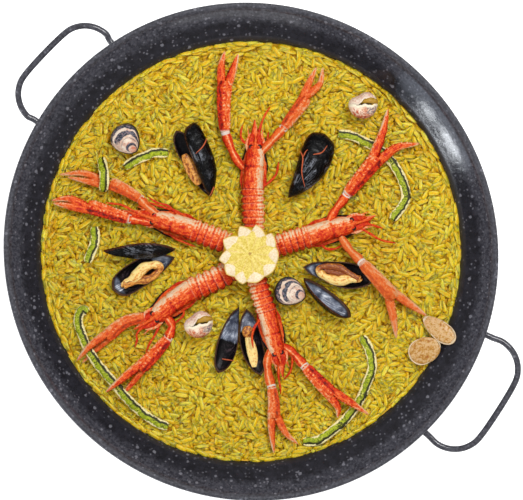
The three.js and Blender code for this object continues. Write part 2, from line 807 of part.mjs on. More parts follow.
makePan();
handles.forEach((handle, i) => makeHandle(`handle_${i + 1}`, handle));
makeRice();
langoustines.forEach(({ body, claws, feelers }, i) => {
  const pieces = [...langoustineBody(body), ...claws.flatMap(claw), ...feelers];
  addMesh(`langoustine_${i + 1}`, fuse(pieces), shellfish);
});
shells.forEach(makeShell);
standingClams.forEach(makeStandingClam);
strips.forEach((points, i) => makeStrip(points, i + 1));
makeLemon();

export default paella;
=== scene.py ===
# %% [markdown]
# # A seafood paella in its pan
#
# This lesson dresses a paella: a wide enamelled pan, a bed of yellow rice, five langoustines laid
# out as a star, mussels, clams, pepper strips and a half lemon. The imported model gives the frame:
# every solid is loaded at its real place, and each one is replaced here by a detailed piece.
# Lengths are written in millimetres and turned into metres once, when a mesh is made. Colours are
# written as screen colours from 0 to 255.

# %% Load the frame and keep its box
import bpy
import math
import numpy as np
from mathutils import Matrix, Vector, noise


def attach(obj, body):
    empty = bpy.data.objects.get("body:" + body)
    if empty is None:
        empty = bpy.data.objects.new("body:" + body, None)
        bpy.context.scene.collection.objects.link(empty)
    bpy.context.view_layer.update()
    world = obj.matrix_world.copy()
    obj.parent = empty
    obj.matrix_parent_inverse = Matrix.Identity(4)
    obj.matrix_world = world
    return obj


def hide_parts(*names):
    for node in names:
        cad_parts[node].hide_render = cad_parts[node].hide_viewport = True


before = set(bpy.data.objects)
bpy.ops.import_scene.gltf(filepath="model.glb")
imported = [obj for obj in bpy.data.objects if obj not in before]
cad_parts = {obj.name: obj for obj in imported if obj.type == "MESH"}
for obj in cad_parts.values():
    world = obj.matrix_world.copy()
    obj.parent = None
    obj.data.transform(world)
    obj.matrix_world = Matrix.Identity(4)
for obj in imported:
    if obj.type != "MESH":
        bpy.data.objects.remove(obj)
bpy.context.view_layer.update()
MM = 0.001
TURN = 2 * math.pi
print("nodes in the frame:", len(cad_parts))

# %% [markdown]
# ## Small tools for node trees
#
# Materials and Geometry Nodes trees are both graphs of sockets. Wrapping a socket in a class with
# Python's own operators lets an expression such as `1 - mask * 0.5` add the Math nodes itself.

# %% A socket that does arithmetic
class Value:
    def __init__(self, graph, socket):
        self.graph, self.socket = graph, socket

    def _math(self, operation, *values, clamp=False):
        return self.graph.add("ShaderNodeMath", dict(operation=operation, use_clamp=clamp), *values)

    def __add__(self, other):
        return self._math("ADD", self, other)

    def __radd__(self, other):
        return self._math("ADD", other, self)

    def __sub__(self, other):
        return self._math("SUBTRACT", self, other)

    def __rsub__(self, other):
        return self._math("SUBTRACT", other, self)

    def __mul__(self, other):
        return self._math("MULTIPLY", self, other)

    def __rmul__(self, other):
        return self._math("MULTIPLY", other, self)

    def __abs__(self):
        return self._math("ABSOLUTE", self)

    def sin(self):
        return self._math("SINE", self)

    def clip(self):
        return self._math("ADD", self, 0, clamp=True)

    def step(self, low, high, to_low=0.0, to_high=1.0):
        """Goes smoothly from to_low to to_high as the value goes from low to high."""
        return self.graph.add("ShaderNodeMapRange", dict(interpolation_type="SMOOTHSTEP"),
                              self, low, high, to_low, to_high)


# %% A graph that adds nodes
def linear(red, green, blue):
    """A screen colour, 0 to 255, as the linear one that shaders use."""
    return tuple((c / 255 / 12.92) if c < 10.3 else ((c / 255 + 0.055) / 1.055) ** 2.4
                 for c in (red, green, blue))


class Graph:
    def __init__(self, tree):
        self.tree = tree

    def add(self, kind, settings=None, *values, out=0, **named):
        """Adds a node, sets its settings, then fills its sockets by number and by name."""
        node = self.tree.nodes.new(kind)
        for key, setting in (settings or {}).items():
            setattr(node, key, setting)
        for key, value in [*enumerate(values), *named.items()]:
            if value is None:
                continue
            socket = node.inputs[key.replace("_", " ") if isinstance(key, str) else key]
            if isinstance(value, Value):
                self.tree.links.new(value.socket, socket)
            else:
                socket.default_value = value
        return Value(self, node.outputs[out]) if len(node.outputs) else node

    def mix(self, share, first, second):
        """Blends two colours, each a screen colour or a socket."""
        node = self.tree.nodes.new("ShaderNodeMix")
        node.data_type = "RGBA"
        for index, value in ((0, share), (6, first), (7, second)):
            if isinstance(value, Value):
                self.tree.links.new(value.socket, node.inputs[index])
            else:
                node.inputs[index].default_value = (*linear(*value), 1) if index else value
        return Value(self, node.outputs[2])

    def layers(self, ground, *coats):
        """A ground colour under coats of paint, each a pair of a mask and a colour."""
        for mask, colour in coats:
            ground = self.mix(mask, ground, colour)
        return ground


# %% A finish is a material with its own graph
class Finish(Graph):
    def __init__(self, name):
        self.material = bpy.data.materials.new(name)
        self.material.use_nodes = True
        super().__init__(self.material.node_tree)
        self.tree.nodes.clear()
        self.place = self.add("ShaderNodeTexCoord", out="Object")

    def mark(self, name):
        """A number kept on the points of the piece."""
        return self.add("ShaderNodeAttribute", dict(attribute_name=name), out="Fac")

    def marks(self, *names):
        return [self.mark(name) for name in names]

    def height(self):
        """Millimetres above the table."""
        return self.add("ShaderNodeSeparateXYZ", None, self.place, out="Z") * 1000

    def noise(self, size, detail=2.0, rough=0.5):
        """Soft noise from 0 to 1 with lumps of that size in millimetres."""
        return self.add("ShaderNodeTexNoise", None, Vector=self.place,
                        Scale=1000 / size, Detail=detail, Roughness=rough)

    def streaks(self, along, across, rough, scale=1.0):
        """Noise laid out on two marks, so that it runs along the piece however it bends."""
        lanes = self.add("ShaderNodeCombineXYZ", None, along, across, 0.0)
        return self.add("ShaderNodeTexNoise", None, Vector=lanes, Scale=scale, Detail=3.0, Roughness=rough)

    def cells(self, size, out="Distance", place=None):
        return self.add("ShaderNodeTexVoronoi", None, Vector=place or self.place,
                        Scale=1000 / size, out=out)

    def bump(self, height, strength, depth_mm):
        return self.add("ShaderNodeBump", None, Height=height, Strength=strength, Distance=depth_mm * MM)

    def surface(self, **sockets):
        shader = self.add("ShaderNodeBsdfPrincipled", None, **sockets)
        self.add("ShaderNodeOutputMaterial", None, Surface=shader)
        return self.material


# %% [markdown]
# ## Small tools for meshes
#
# Almost every piece here is a skin over rings of points: a pan wall, a claw, a shell, a strip. One
# collector takes such grids of points, closes their ends, and keeps a few named numbers on each
# point, which the finishes read later as attributes.

# %% A collector of skins
class Skin:
    def __init__(self):
        self.points, self.faces, self.marks, self.count = [], [], {}, 0

    def grid(self, rings, **marks):
        """Rings is an array of ring, point, xyz in mm. A fan closes the first and the last ring."""
        rings = np.asarray(rings, float)
        rows, sides, _ = rings.shape
        start, last = self.count, self.count + (rows - 1) * sides
        index = start + np.arange(rows * sides).reshape(rows, sides)
        ahead = np.roll(index, -1, axis=1)
        quads = np.stack([index[:-1], ahead[:-1], ahead[1:], index[1:]], -1).reshape(-1, 4)
        self.faces += quads.tolist()
        hub, end = start + rows * sides, start + rows * sides + 1
        self.faces += [[hub, start + (j + 1) % sides, start + j] for j in range(sides)]
        self.faces += [[end, last + j, last + (j + 1) % sides] for j in range(sides)]
        self.points += [rings.reshape(-1, 3), [rings[0].mean(0), rings[-1].mean(0)]]
        for name in dict.fromkeys([*self.marks, *marks]):
            value = np.broadcast_to(np.asarray(marks.get(name, 0.0), float), (rows, sides))
            before = self.marks.setdefault(name, np.zeros(start))
            hubs = [value[0].mean(), value[-1].mean()]
            self.marks[name] = np.concatenate([before, value.reshape(-1), hubs])
        self.count += rows * sides + 2

    def mesh(self, name):
        mesh = bpy.data.meshes.new(name)
        mesh.from_pydata((np.vstack(self.points) * MM).tolist(), [], self.faces)
        for key, values in self.marks.items():
            mesh.attributes.new(key, "FLOAT", "POINT").data.foreach_set("value", values)
        mesh.shade_smooth()
        return mesh


# %% Pieces of the scene
def shown(name, data):
    """An object of the scene that carries that mesh, curve, light or camera."""
    thing = bpy.data.objects.new(name, data)
    bpy.context.scene.collection.objects.link(thing)
    return thing


def place(name, mesh, finish, slot, *nodes):
    """Shows a mesh as a piece of the dish that stands for those CAD nodes."""
    piece = shown(name, mesh)
    if not mesh.materials:
        mesh.materials.append(finish)
    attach(piece, "root")
    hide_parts(*nodes)
    print(f"{name}: {sum(len(f.vertices) - 2 for f in mesh.polygons)} triangles")


# %% Smooth paths
def ease(x):
    x = np.clip(x, 0, 1)
    return x * x * (3 - 2 * x)


def bell(x, middle, width):
    return np.exp(-((x - middle) / width) ** 2)


def tangents(path):
    ahead = np.gradient(path, axis=0)
    return ahead / np.linalg.norm(ahead, axis=1)[:, None]


def length_of(path):
    return np.linalg.norm(np.diff(path, axis=0), axis=1).sum()


def spline(points, count):
    """Points on a smooth curve through the given ones, evenly spaced, with their tangents."""
    p = np.asarray(points, float)
    p = np.vstack([2 * p[0] - p[1], p, 2 * p[-1] - p[-2]])
    fine = []
    for a, b, c, d in zip(p, p[1:], p[2:], p[3:]):
        # The knots of a span follow the square root of the distances, so that it never loops.
        t1 = np.linalg.norm(b - a) ** 0.5
        t2 = t1 + np.linalg.norm(c - b) ** 0.5
        t3 = t2 + np.linalg.norm(d - c) ** 0.5
        t = np.linspace(t1, t2, 24, endpoint=False)[:, None]
        ab = a + (b - a) * t / t1
        bc = b + (c - b) * (t - t1) / (t2 - t1)
        cd = c + (d - c) * (t - t2) / (t3 - t2)
        abc, bcd = ab + (bc - ab) * t / t2, bc + (cd - bc) * (t - t1) / (t3 - t1)
        fine.append(abc + (bcd - abc) * (t - t1) / (t2 - t1))
    fine = np.vstack([*fine, p[-2]])
    run = np.concatenate([[0], np.cumsum(np.linalg.norm(np.diff(fine, axis=0), axis=1))])
    at = np.linspace(0, run[-1], count)
    path = np.stack([np.interp(at, run, fine[:, k]) for k in range(3)], 1)
    return path, tangents(path)


# %% Rings and their relief
def turns(sides):
    return TURN * (np.arange(sides) + 0.5) / sides


def rings_along(path, ahead, wide, high, angles):
    """Elliptical rings: wide lies level across the path, high stands upright. Both may be arrays."""
    across = np.stack([-ahead[:, 1], ahead[:, 0], 0 * ahead[:, 0]], 1)
    across /= np.maximum(np.linalg.norm(across, axis=1), 1e-6)[:, None]
    upright = np.cross(ahead, across)
    wide, high = (np.broadcast_to(v[:, None] if np.ndim(v) == 1 else v, (len(path), len(angles)))
                  for v in (wide, high))
    return (path[:, None] + across[:, None] * (wide * np.cos(angles))[..., None]
            + upright[:, None] * (high * np.sin(angles))[..., None])


def circle(sides):
    """The points of a level circle of radius 1."""
    angles = np.linspace(0, TURN, sides, endpoint=False)
    return np.stack([np.cos(angles), np.sin(angles)], 1)


def level_ring(ring, radius, height):
    """The circle at that radius and height; either may differ from point to point."""
    return np.column_stack([np.reshape(radius, (-1, 1)) * ring, np.broadcast_to(height, len(ring))])


def lumps(points, size, seed=0.0):
    """Smooth noise from -1 to 1 at an array of points, with lumps of that size in mm."""
    flat = np.asarray(points, float).reshape(-1, 3) / size + seed
    values = [noise.noise(Vector(p)) for p in flat]
    return np.array(values).reshape(np.shape(points)[:-1])


def raised(points, by, way=(0, 0, 1)):
    return points + by[..., None] * way


# %% [markdown]
# ## The pan
#
# A paella pan is one pressed sheet: a flat base, a wall that leans far out and a rolled edge. A
# profile spun round the axis gives it; the rim is pulled slightly oval along the handles, as the
# real sheet is. The wall steepens over the rice and flattens under the rim, so that only the flatter
# part mirrors the sky; that reflection is the pale band near the edge, which the enamel also has
# painted into its colour.

# %% The pan's profile
RIM_RADIUS = 230
PAN_HEIGHT = 48
SHEET = 2
BASE_RADIUS = 180
LIP = 2.5
WALL_LEAN = 0.93  # outwards for each millimetre upwards
OUTER_FACE, INNER_FACE = 2.6, -0.2  # level distances from the solid's inner wall
OVAL, OVAL_HEADING = 0.0115, 126
RICE_LEVEL = 17.3


def wall_radius(z):
    """Inner radius of the straight wall that the solid has, at that height."""
    return RIM_RADIUS - 2 * LIP - WALL_LEAN * (PAN_HEIGHT - LIP - z)


def sag(z):
    """How far the real wall bows out from the straight one: steep at the rice, flatter above."""
    return -5.5 * ease((z - 15) / 9) * (1 - ease((np.clip(z - 23, 0, 22) / 22) ** 0.7))


def pan_profile():
    """From near the middle of the underside round the lip to near the middle of the inside."""
    turn = np.radians(np.linspace(-100, 150, 14))
    lip = np.stack([RIM_RADIUS - LIP + LIP * np.cos(turn), PAN_HEIGHT - LIP + LIP * np.sin(turn)], 1)
    underside = [(60, 0), (120, 0), (BASE_RADIUS - 8, 0), (BASE_RADIUS, 0.3), (BASE_RADIUS + 4, 1.6),
                 (BASE_RADIUS + 8, 5)]
    heights = np.linspace(12, 40, 15)
    outer = [(wall_radius(z) + OUTER_FACE + sag(z), z) for z in heights]
    inner = [(wall_radius(z) + INNER_FACE + sag(z), z) for z in (44.2, 42.4, *heights[::-1])]
    inside = [(BASE_RADIUS + 6.5, 6.4), (BASE_RADIUS + 2.5, 3.2), (BASE_RADIUS - 3, SHEET), (120, SHEET),
              (60, SHEET)]
    return np.array([*underside, *outer, *lip, *inner, *inside])


# %% Spin it
def oval(points):
    """Pulls the upper part of the wall a little oval."""
    heading = np.arctan2(points[..., 1], points[..., 0]) - math.radians(OVAL_HEADING)
    share = ease((points[..., 2] - RICE_LEVEL) / (PAN_HEIGHT - RICE_LEVEL))
    grow = 1 + (0.004 + OVAL * np.cos(2 * heading)) * share
    return points * np.stack([grow, grow, np.ones_like(grow)], -1)


def make_pan(finish):
    profile, _ = spline(np.insert(pan_profile(), 1, 0, axis=1), 110)
    ring = circle(240)
    skin = Skin()
    skin.grid(oval(np.array([level_ring(ring, r, z) for r, _, z in profile])))
    place("pan_enamelled", skin.mesh("pan_enamelled"), finish, "enamel", "pan")


# %% [markdown]
# ### Speckled enamel
#
# The sheet is dipped in black enamel with pale flecks. The flecks are cells of a Voronoi pattern:
# only a few cells carry one, each of its own size. A second, finer set of flecks and a slow mottle
# keep the black from looking like plastic.

# %% Enamel
def enamel_finish():
    f = Finish("speckled_enamel")
    drift = f.add("ShaderNodeTexNoise", None, Vector=f.place, Scale=500.0, Detail=2.0, out="Color")
    warped = f.add("ShaderNodeMixRGB", dict(blend_type="ADD"), 0.0016, f.place, drift)

    def flecks(size, share, radius):
        """Round flecks in that share of the cells; the radius is a share of the cell's size."""
        chosen = f.add("ShaderNodeSeparateColor", None, f.cells(size, out="Color", place=warped))
        near = f.cells(size, place=warped).step(radius * 0.55, radius, 1, 0)
        return near * chosen.step(1 - share, 1 - share * 0.7)

    mottle, height = f.noise(7, 4, 0.7), f.height()
    # Painted reflection: the flange is painted a paler grey, standing for the pale band that the sky makes
    # on the flatter wall under the rim.
    flange = (height + mottle * 5).step(35, 42)
    small = flecks(3.4, 0.5, 0.36) * mottle.step(0.4, 0.6, 0.25, 0.7)
    specks = (flecks(8.0, 0.5, 0.25) * 0.85 + small).clip()
    colour = f.layers((22, 21, 27), (mottle.step(0.35, 0.7), (38, 37, 45)),
                      (flange * mottle.step(0.35, 0.6, 0.5, 1), (56, 56, 64)),
                      (flange * f.noise(2.6, 3, 0.6).step(0.42, 0.6) * 0.8, (78, 78, 86)),
                      (specks * 0.62, (142, 142, 152)))
    gloss = height.step(23, 28) * height.step(43, 46, 1, 0.15)
    return f.surface(Base_Color=colour, Roughness=gloss.step(0, 1, 0.6, 0.13), IOR=1.45,
                     Normal=f.bump(f.noise(9, 4, 0.6), 0.16, 0.8))


enamel = enamel_finish()
make_pan(enamel)

# %% [markdown]
# ### Wire handles
#
# Each handle is one bent wire whose feet are pressed against the wall. Geometry Nodes sweep a
# circle along the bent path, so the wire's radius stays a named input of the tree.

# %% A Geometry Nodes group with named inputs
def new_tree(name, *inputs):
    """A graph whose inputs are a geometry, the given ones and the finish."""
    tree = bpy.data.node_groups.new(name, "GeometryNodeTree")
    tree.interface.new_socket("Geometry", in_out="INPUT", socket_type="NodeSocketGeometry")
    for label, kind, default in inputs:
        socket = tree.interface.new_socket(label, in_out="INPUT", socket_type="NodeSocket" + kind)
        socket.default_value = default
    tree.interface.new_socket("Finish", in_out="INPUT", socket_type="NodeSocketMaterial")
    tree.interface.new_socket("Geometry", in_out="OUTPUT", socket_type="NodeSocketGeometry")
    graph = Graph(tree)
    entry = tree.nodes.new("NodeGroupInput")
    graph.input = {socket.name: Value(graph, socket) for socket in entry.outputs if socket.name}
    return graph


def grown(tree, data, **inputs):
    """Runs the tree on that curve or mesh and returns the result as a plain mesh."""
    carrier = shown("carrier", data)
    modifier = carrier.modifiers.new("nodes", "NODES")
    modifier.node_group = tree
    for socket in tree.interface.items_tree:
        if socket.in_out == "INPUT" and socket.name.lower() in inputs:
            modifier[socket.identifier] = inputs[socket.name.lower()]
    evaluated = carrier.evaluated_get(bpy.context.evaluated_depsgraph_get())
    mesh = bpy.data.meshes.new_from_object(evaluated)
    carrier.modifiers.remove(modifier)
    bpy.data.objects.remove(carrier)
    return mesh


# %% The wire tree
WIRE_RADIUS = 3


def wire_tree():
    g = new_tree("wire_along_path", ("Radius", "Float", WIRE_RADIUS * MM), ("Sides", "Int", 20),
                 ("Steps", "Int", 90))
    path = g.add("GeometryNodeResampleCurve", None, g.input["Geometry"], Count=g.input["Steps"])
    ring = g.add("GeometryNodeCurvePrimitiveCircle", None, Resolution=g.input["Sides"],
                 Radius=g.input["Radius"])
    tube = g.add("GeometryNodeCurveToMesh", None, path, ring, Fill_Caps=True)
    smooth = g.add("GeometryNodeSetShadeSmooth", None, tube)
    real = g.add("GeometryNodeRealizeInstances", None, smooth)
    painted = g.add("GeometryNodeSetMaterial", None, real, Material=g.input["Finish"])
    g.add("NodeGroupOutput", None, painted)
    return g.tree


# %% Where the handles go
# Heading in degrees, half the distance between the feet, half the bar, reach and corner radius.
HANDLES = [(136.2, 49.5, 53, 266.0, 29), (-32.8, 52.5, 56.5, 272.8, 30)]
FOOT_HEIGHT, BAR_HEIGHT = 36, 41
WALL_OUTSIDE = 2.74  # the sheet's thickness, measured level through the leaning wall
FOOT_GAP = 1.8


def handle_path(heading, foot_half, shoulder_half, reach, corner):
    """Half of the loop in its own frame, mirrored and turned to its heading."""
    foot_radius = wall_radius(FOOT_HEIGHT) + WALL_OUTSIDE + WIRE_RADIUS + FOOT_GAP
    foot_reach = math.sqrt(foot_radius ** 2 - foot_half ** 2)
    half = [(foot_reach, foot_half), (RIM_RADIUS * 0.985 + 6, (foot_half + shoulder_half) / 2)]
    for turn in (math.radians(degrees) for degrees in (0, 22, 45, 68, 90)):
        half.append((reach - corner * (1 - math.sin(turn)), shoulder_half - corner * (1 - math.cos(turn))))
    loop = half + [(out, -along) for out, along in reversed(half)]
    cos, sin = math.cos(math.radians(heading)), math.sin(math.radians(heading))
    return [(out * cos - along * sin, out * sin + along * cos,
             FOOT_HEIGHT + (BAR_HEIGHT - FOOT_HEIGHT) * ease((out - foot_reach) / (reach - foot_reach)))
            for out, along in loop]


def make_handles(finish):
    tree = wire_tree()
    for number, spec in enumerate(HANDLES, 1):
        path, _ = spline(handle_path(*spec), 120)
        curve = bpy.data.curves.new("path", "CURVE")
        curve.dimensions = "3D"
        line = curve.splines.new("POLY")
        line.points.add(len(path) - 1)
        line.points.foreach_set("co", np.column_stack([path * MM, np.ones(len(path))]).ravel())
        mesh = grown(tree, curve, radius=WIRE_RADIUS * MM, finish=finish)
        place(f"handle_wire_{number}", mesh, finish, "enamel", f"handle_{number}")


make_handles(enamel)

# %% [markdown]
# ## The rice
#
# Thousands of long grains lie on and across each other. Grains scattered with random heights sink
# into one another and look like noise, so they are dropped one after another on a height map: each
# grain comes down where the bed is still low, leans on what is under its two ends, and raises the
# map under itself. Geometry Nodes then put a grain of a few faces on each place.

# %% The bed that the grains fall on
BED_LEVEL = 12.2
BED_SIDES = 120
MAP_HALF = 212  # the height map has one number for each millimetre, this far from the middle


def bed_height(x, y):
    return BED_LEVEL + 0.5 * np.sin(x / 23) * np.cos(y / 31)


def bed_map():
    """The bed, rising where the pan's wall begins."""
    at = np.arange(-MAP_HALF, MAP_HALF + 1)
    x, y = np.meshgrid(at, at, indexing="ij")
    wall = PAN_HEIGHT - LIP - (RIM_RADIUS - 2 * LIP - np.hypot(x, y)) / WALL_LEAN
    return np.maximum(bed_height(x, y), wall)


# %% Drop the grains
GRAINS_PER_LAYER = 5600
GRAIN_LENGTHS, GRAIN_WIDTHS = (11.5, 17.0), (3.9, 5.1)
GRAIN_FLATNESS = 0.4
SPREAD_RADIUS, WALL_ROW_RADIUS = 196.8, 190.5
TRIES = 4
SINK = 0.35  # how far a grain settles between those under it
STEEPEST = 2.4  # most that one end of a grain is higher than the other
REST_SHARE, TOP_SHARE = 0.42, 0.36  # of a grain's thickness, under its middle and over it


def drop_grains(count, rng, bed, floor):
    """Position, heading, lean, roll, size and tone of each grain, one row for each."""
    shares = np.array([-0.85, -0.45, 0, 0.45, 0.85])
    rows = []
    for _ in range(count):
        length, width = rng.uniform(*GRAIN_LENGTHS), rng.uniform(*GRAIN_WIDTHS)
        best = None
        for _ in range(TRIES):
            radius, angle = SPREAD_RADIUS * math.sqrt(rng.random()), rng.uniform(0, TURN)
            x, y = radius * math.cos(angle), radius * math.sin(angle)
            flow = 3.5 * noise.noise(Vector((x / 34, y / 34, 3))) + rng.uniform(-1.25, 1.25)
            along_wall = angle + math.pi / 2 + rng.uniform(-0.3, 0.3)
            heading = along_wall if radius > WALL_ROW_RADIUS else flow
            step = np.array([math.cos(heading), math.sin(heading)]) * length / 2
            ix, iy = (np.rint(v + d * shares).astype(int) + MAP_HALF for v, d in zip((x, y), step))
            under = bed[ix, iy]
            low, high = max(under[0], under[1]), max(under[3], under[4])
            middle = max((low + high) / 2, under[2] - SINK)
            depth = middle - floor[ix[2], iy[2]]
            if best is None or depth < best[0]:
                best = depth, middle, low, high, x, y, heading, ix, iy
        _, middle, low, high, x, y, heading, ix, iy = best
        lean = math.atan2(np.clip(high - low, -STEEPEST, STEEPEST), length * 0.65)
        thick = width * GRAIN_FLATNESS
        z = middle + thick * REST_SHARE
        rows.append((x, y, z, heading, -lean, rng.uniform(-0.35, 0.35), length, width, thick, rng.random()))
        top = z + thick * TOP_SHARE + shares * math.sin(lean) * length / 2
        for dx, dy in ((0, 0), (1, 0), (0, 1), (-1, 0), (0, -1)):
            spot = bed[ix + dx, iy + dy]
            bed[ix + dx, iy + dy] = np.maximum(spot, top - (SINK if dx or dy else 0))
    return np.array(rows)


# %% The grain tree
def grain_tree():
    g = new_tree("grains_on_points", ("Sides", "Int", 5), ("Levels", "Int", 4),
                 ("Fullness", "Float", 0.216))
    ball = g.add("GeometryNodeMeshUVSphere", None, Segments=g.input["Sides"], Rings=g.input["Levels"],
                 Radius=0.5)
    spot = g.add("GeometryNodeInputPosition")
    axis = g.add("ShaderNodeSeparateXYZ", None, spot, out="Z") * 2
    square = axis * axis
    swell = 1 + 4 * square * (1 - square) * g.input["Fullness"]
    length = 1 - 0.3 * square * (1 - square)
    scale = g.add("ShaderNodeCombineXYZ", None, swell, swell, length)
    blunt = g.add("GeometryNodeSetPosition", None, ball,
                  Position=g.add("ShaderNodeVectorMath", dict(operation="MULTIPLY"), spot, scale))
    # The place across the grain is kept as a mark, so that the finish can paint the grain's sides paler:
    # painted light.
    painted_side_glow = g.add("ShaderNodeSeparateXYZ", None, spot, out="Y") * 2
    marked = g.add("GeometryNodeStoreNamedAttribute", dict(data_type="FLOAT", domain="POINT"), blunt, None,
                   "painted_side_glow", painted_side_glow)
    flat = g.add("GeometryNodeTransform", None, marked, Rotation=(0, math.pi / 2, 0))
    turn, size = (g.add("GeometryNodeInputNamedAttribute", dict(data_type="FLOAT_VECTOR"), name)
                  for name in ("turn", "size"))
    grains = g.add("GeometryNodeInstanceOnPoints", None, g.input["Geometry"], Instance=flat,
                   Rotation=turn, Scale=size)
    real = g.add("GeometryNodeRealizeInstances", None, grains)
    smooth = g.add("GeometryNodeSetShadeSmooth", None, real)
    painted = g.add("GeometryNodeSetMaterial", None, smooth, Material=g.input["Finish"])
    g.add("NodeGroupOutput", None, painted)
    return g.tree


def point_cloud(rows):
    """One point for each grain, with its tone, its turn and its size as attributes."""
    x, y, z, heading, lean, roll, length, width, thick, tone = rows.T
    mesh = bpy.data.meshes.new("grain_places")
    mesh.from_pydata((np.column_stack([x, y, z]) * MM).tolist(), [], [])
    mesh.attributes.new("tone", "FLOAT", "POINT").data.foreach_set("value", tone.copy())
    for name, columns in (("turn", (roll, lean, heading)), ("size", (length * MM, width * MM, thick * MM))):
        target = mesh.attributes.new(name, "FLOAT_VECTOR", "POINT").data
        target.foreach_set("vector", np.column_stack(columns).ravel())
    return mesh


# %% Grains in two layers, and the bed under them
BED_OUTSIDE = [(195.7, 15.0), (197.1, 16.9), (197.0, 16.6), (193.4, 12.0), (188, 8.2), (176, 2.4), (2, 2.4)]


def make_bed(finish):
    ring = circle(BED_SIDES)
    radii = np.array([2, 12, *np.linspace(20, 190, 30), wall_radius(BED_LEVEL) - 1.2])
    rings = [level_ring(ring, r, bed_height(*(r * ring).T) - 0.3) for r in radii]
    rings += [level_ring(ring, r, z) for r, z in BED_OUTSIDE]
    skin = Skin()
    skin.grid(np.array(rings)[::-1])
    place("rice_bed", skin.mesh("rice_bed"), finish, "rice", "rice")


def make_rice(grain_finish, bed_finish):
    rng = np.random.default_rng(7)
    bed, tree = bed_map(), grain_tree()
    floor = bed.copy()
    for layer in ("under", "upper"):
        rows = drop_grains(GRAINS_PER_LAYER, rng, bed, floor)
        mesh = grown(tree, point_cloud(rows), finish=grain_finish)
        place(f"rice_grains_{layer}", mesh, grain_finish, "rice", "rice")
        print("grains lie from", rows[:, 2].min().round(1), "to", rows[:, 2].max().round(1), "mm")
    make_bed(bed_finish)


# %% [markdown]
# ### Saffron rice
#
# Every grain has a tone of its own, kept on its points. Cooked rice is a little translucent, which
# a touch of subsurface light gives, and moist, which a low roughness gives.

# %% Rice finishes
def grain_finish():
    f = Finish("saffron_rice")
    tone, painted_side_glow, height = f.mark("tone"), abs(f.mark("painted_side_glow")), f.height()
    cloud, fine = f.noise(38, 2), f.noise(1.6, 3)
    colour = f.layers((226, 174, 4), (tone, (242, 194, 22)),
                      (cloud.step(0.35, 0.7, 0, 0.35), (216, 164, 4)),
                      (tone.step(0.88, 0.98), (252, 214, 72)),
                      # Painted light: the sides of each grain are painted paler, against the shade between
                      # grains.
                      ((painted_side_glow + (fine - 0.5) * 0.5).step(0.35, 0.75, 0, 0.9), (255, 232, 104)),
                      # Painted shade: grains low in the heap are painted a darker orange, for the shade
                      # deep between them.
                      ((height + fine).step(14.5, 17.5, 0.8, 0), (214, 144, 0)),
                      (fine.step(0.45, 0.75, 0, 0.4), (242, 220, 88)))
    return f.surface(Base_Color=colour, Roughness=fine.step(0.3, 0.8, 0.36, 0.55), Subsurface_Weight=0.85,
                     Subsurface_Radius=(1.0, 0.8, 0.12), Subsurface_Scale=4 * MM, Specular_IOR_Level=0.2,
                     Normal=f.bump(fine, 0.15, 0.2))


def bed_finish():
    f = Finish("rice_between_grains")
    speck = f.noise(3, 3)
    return f.surface(Base_Color=f.mix(speck, (226, 172, 8), (240, 192, 28)), Roughness=0.6,
                     Normal=f.bump(speck, 0.8, 1.2))


make_rice(grain_finish(), bed_finish())

# %% [markdown]
# ## Langoustines
#
# A cooked langoustine is a row of overlapping plates, a smooth carapace with a spiked front, two
# long clawed arms and a bundle of thin legs. All of them are swept skins: what tells them apart
# is how the half width and half height run along the path. The spikes on the claws, the plate
# edges and the teeth of the fingers are relief worked out from the distance along the same path.

# %% Limbs
REST = 18.5  # what lies on the rice starts at this height


def lifted(points):
    return np.array(points, float) + (0, 0, REST)


def limb(skin, points, radii, sides=10, flat=1.0, steps=26, **marks):
    """A jointed limb; radii are spread evenly along it and may swell and narrow at the joints."""
    path, ahead = spline(lifted(points), steps)
    wide = np.interp(np.linspace(0, 1, steps), np.linspace(0, 1, len(radii)), radii)
    skin.grid(rings_along(path, ahead, wide, wide * flat, turns(sides)), **marks)


def thin_leg(skin, points, radius=1.25, pale=0.25):
    """Thicker where one joint ends, thin in between, pointed at the tip."""
    limb(skin, points, [radius * share for share in (1, 0.8, 1.15, 0.75, 0.95, 0.35)], sides=7, steps=22,
         pale=pale, deep=0.35)


# %% Which side of a section is lit
def from_light(angles, degrees, lit):
    """Angle from the lit place, which lies that far left of the top, or right of it where lit is -1."""
    return angles - math.radians(90 - degrees * lit)


def shaded(side, reach):
    """From 0 to 1 on the side that looks away from the light; a larger reach brings it further round."""
    return np.clip(np.cos(side - math.pi) + reach, 0, 1)


# %% The body
PLATES = 6
HALF_WIDTH, HALF_HEIGHT = 9.3, 8.0


def body_outline(share, waist, eyes):
    """Half width and half height along the back, as shares of the largest."""
    head = eyes - waist
    at = [0, waist * 0.3, waist, waist + 0.12 * head, waist + 0.5 * head, eyes - 0.15 * head, eyes,
          (1 + 2 * eyes) / 3, (3 + eyes) / 4, 1]
    wide = [0.95, 1.08, 1.07, 1.03, 1.02, 0.94, 0.81, 0.5, 0.24, 0.05]
    high = [0.72, 0.9, 0.98, 1.03, 1.1, 0.98, 0.84, 0.5, 0.24, 0.05]
    return np.interp(share, at, wide), np.interp(share, at, high)


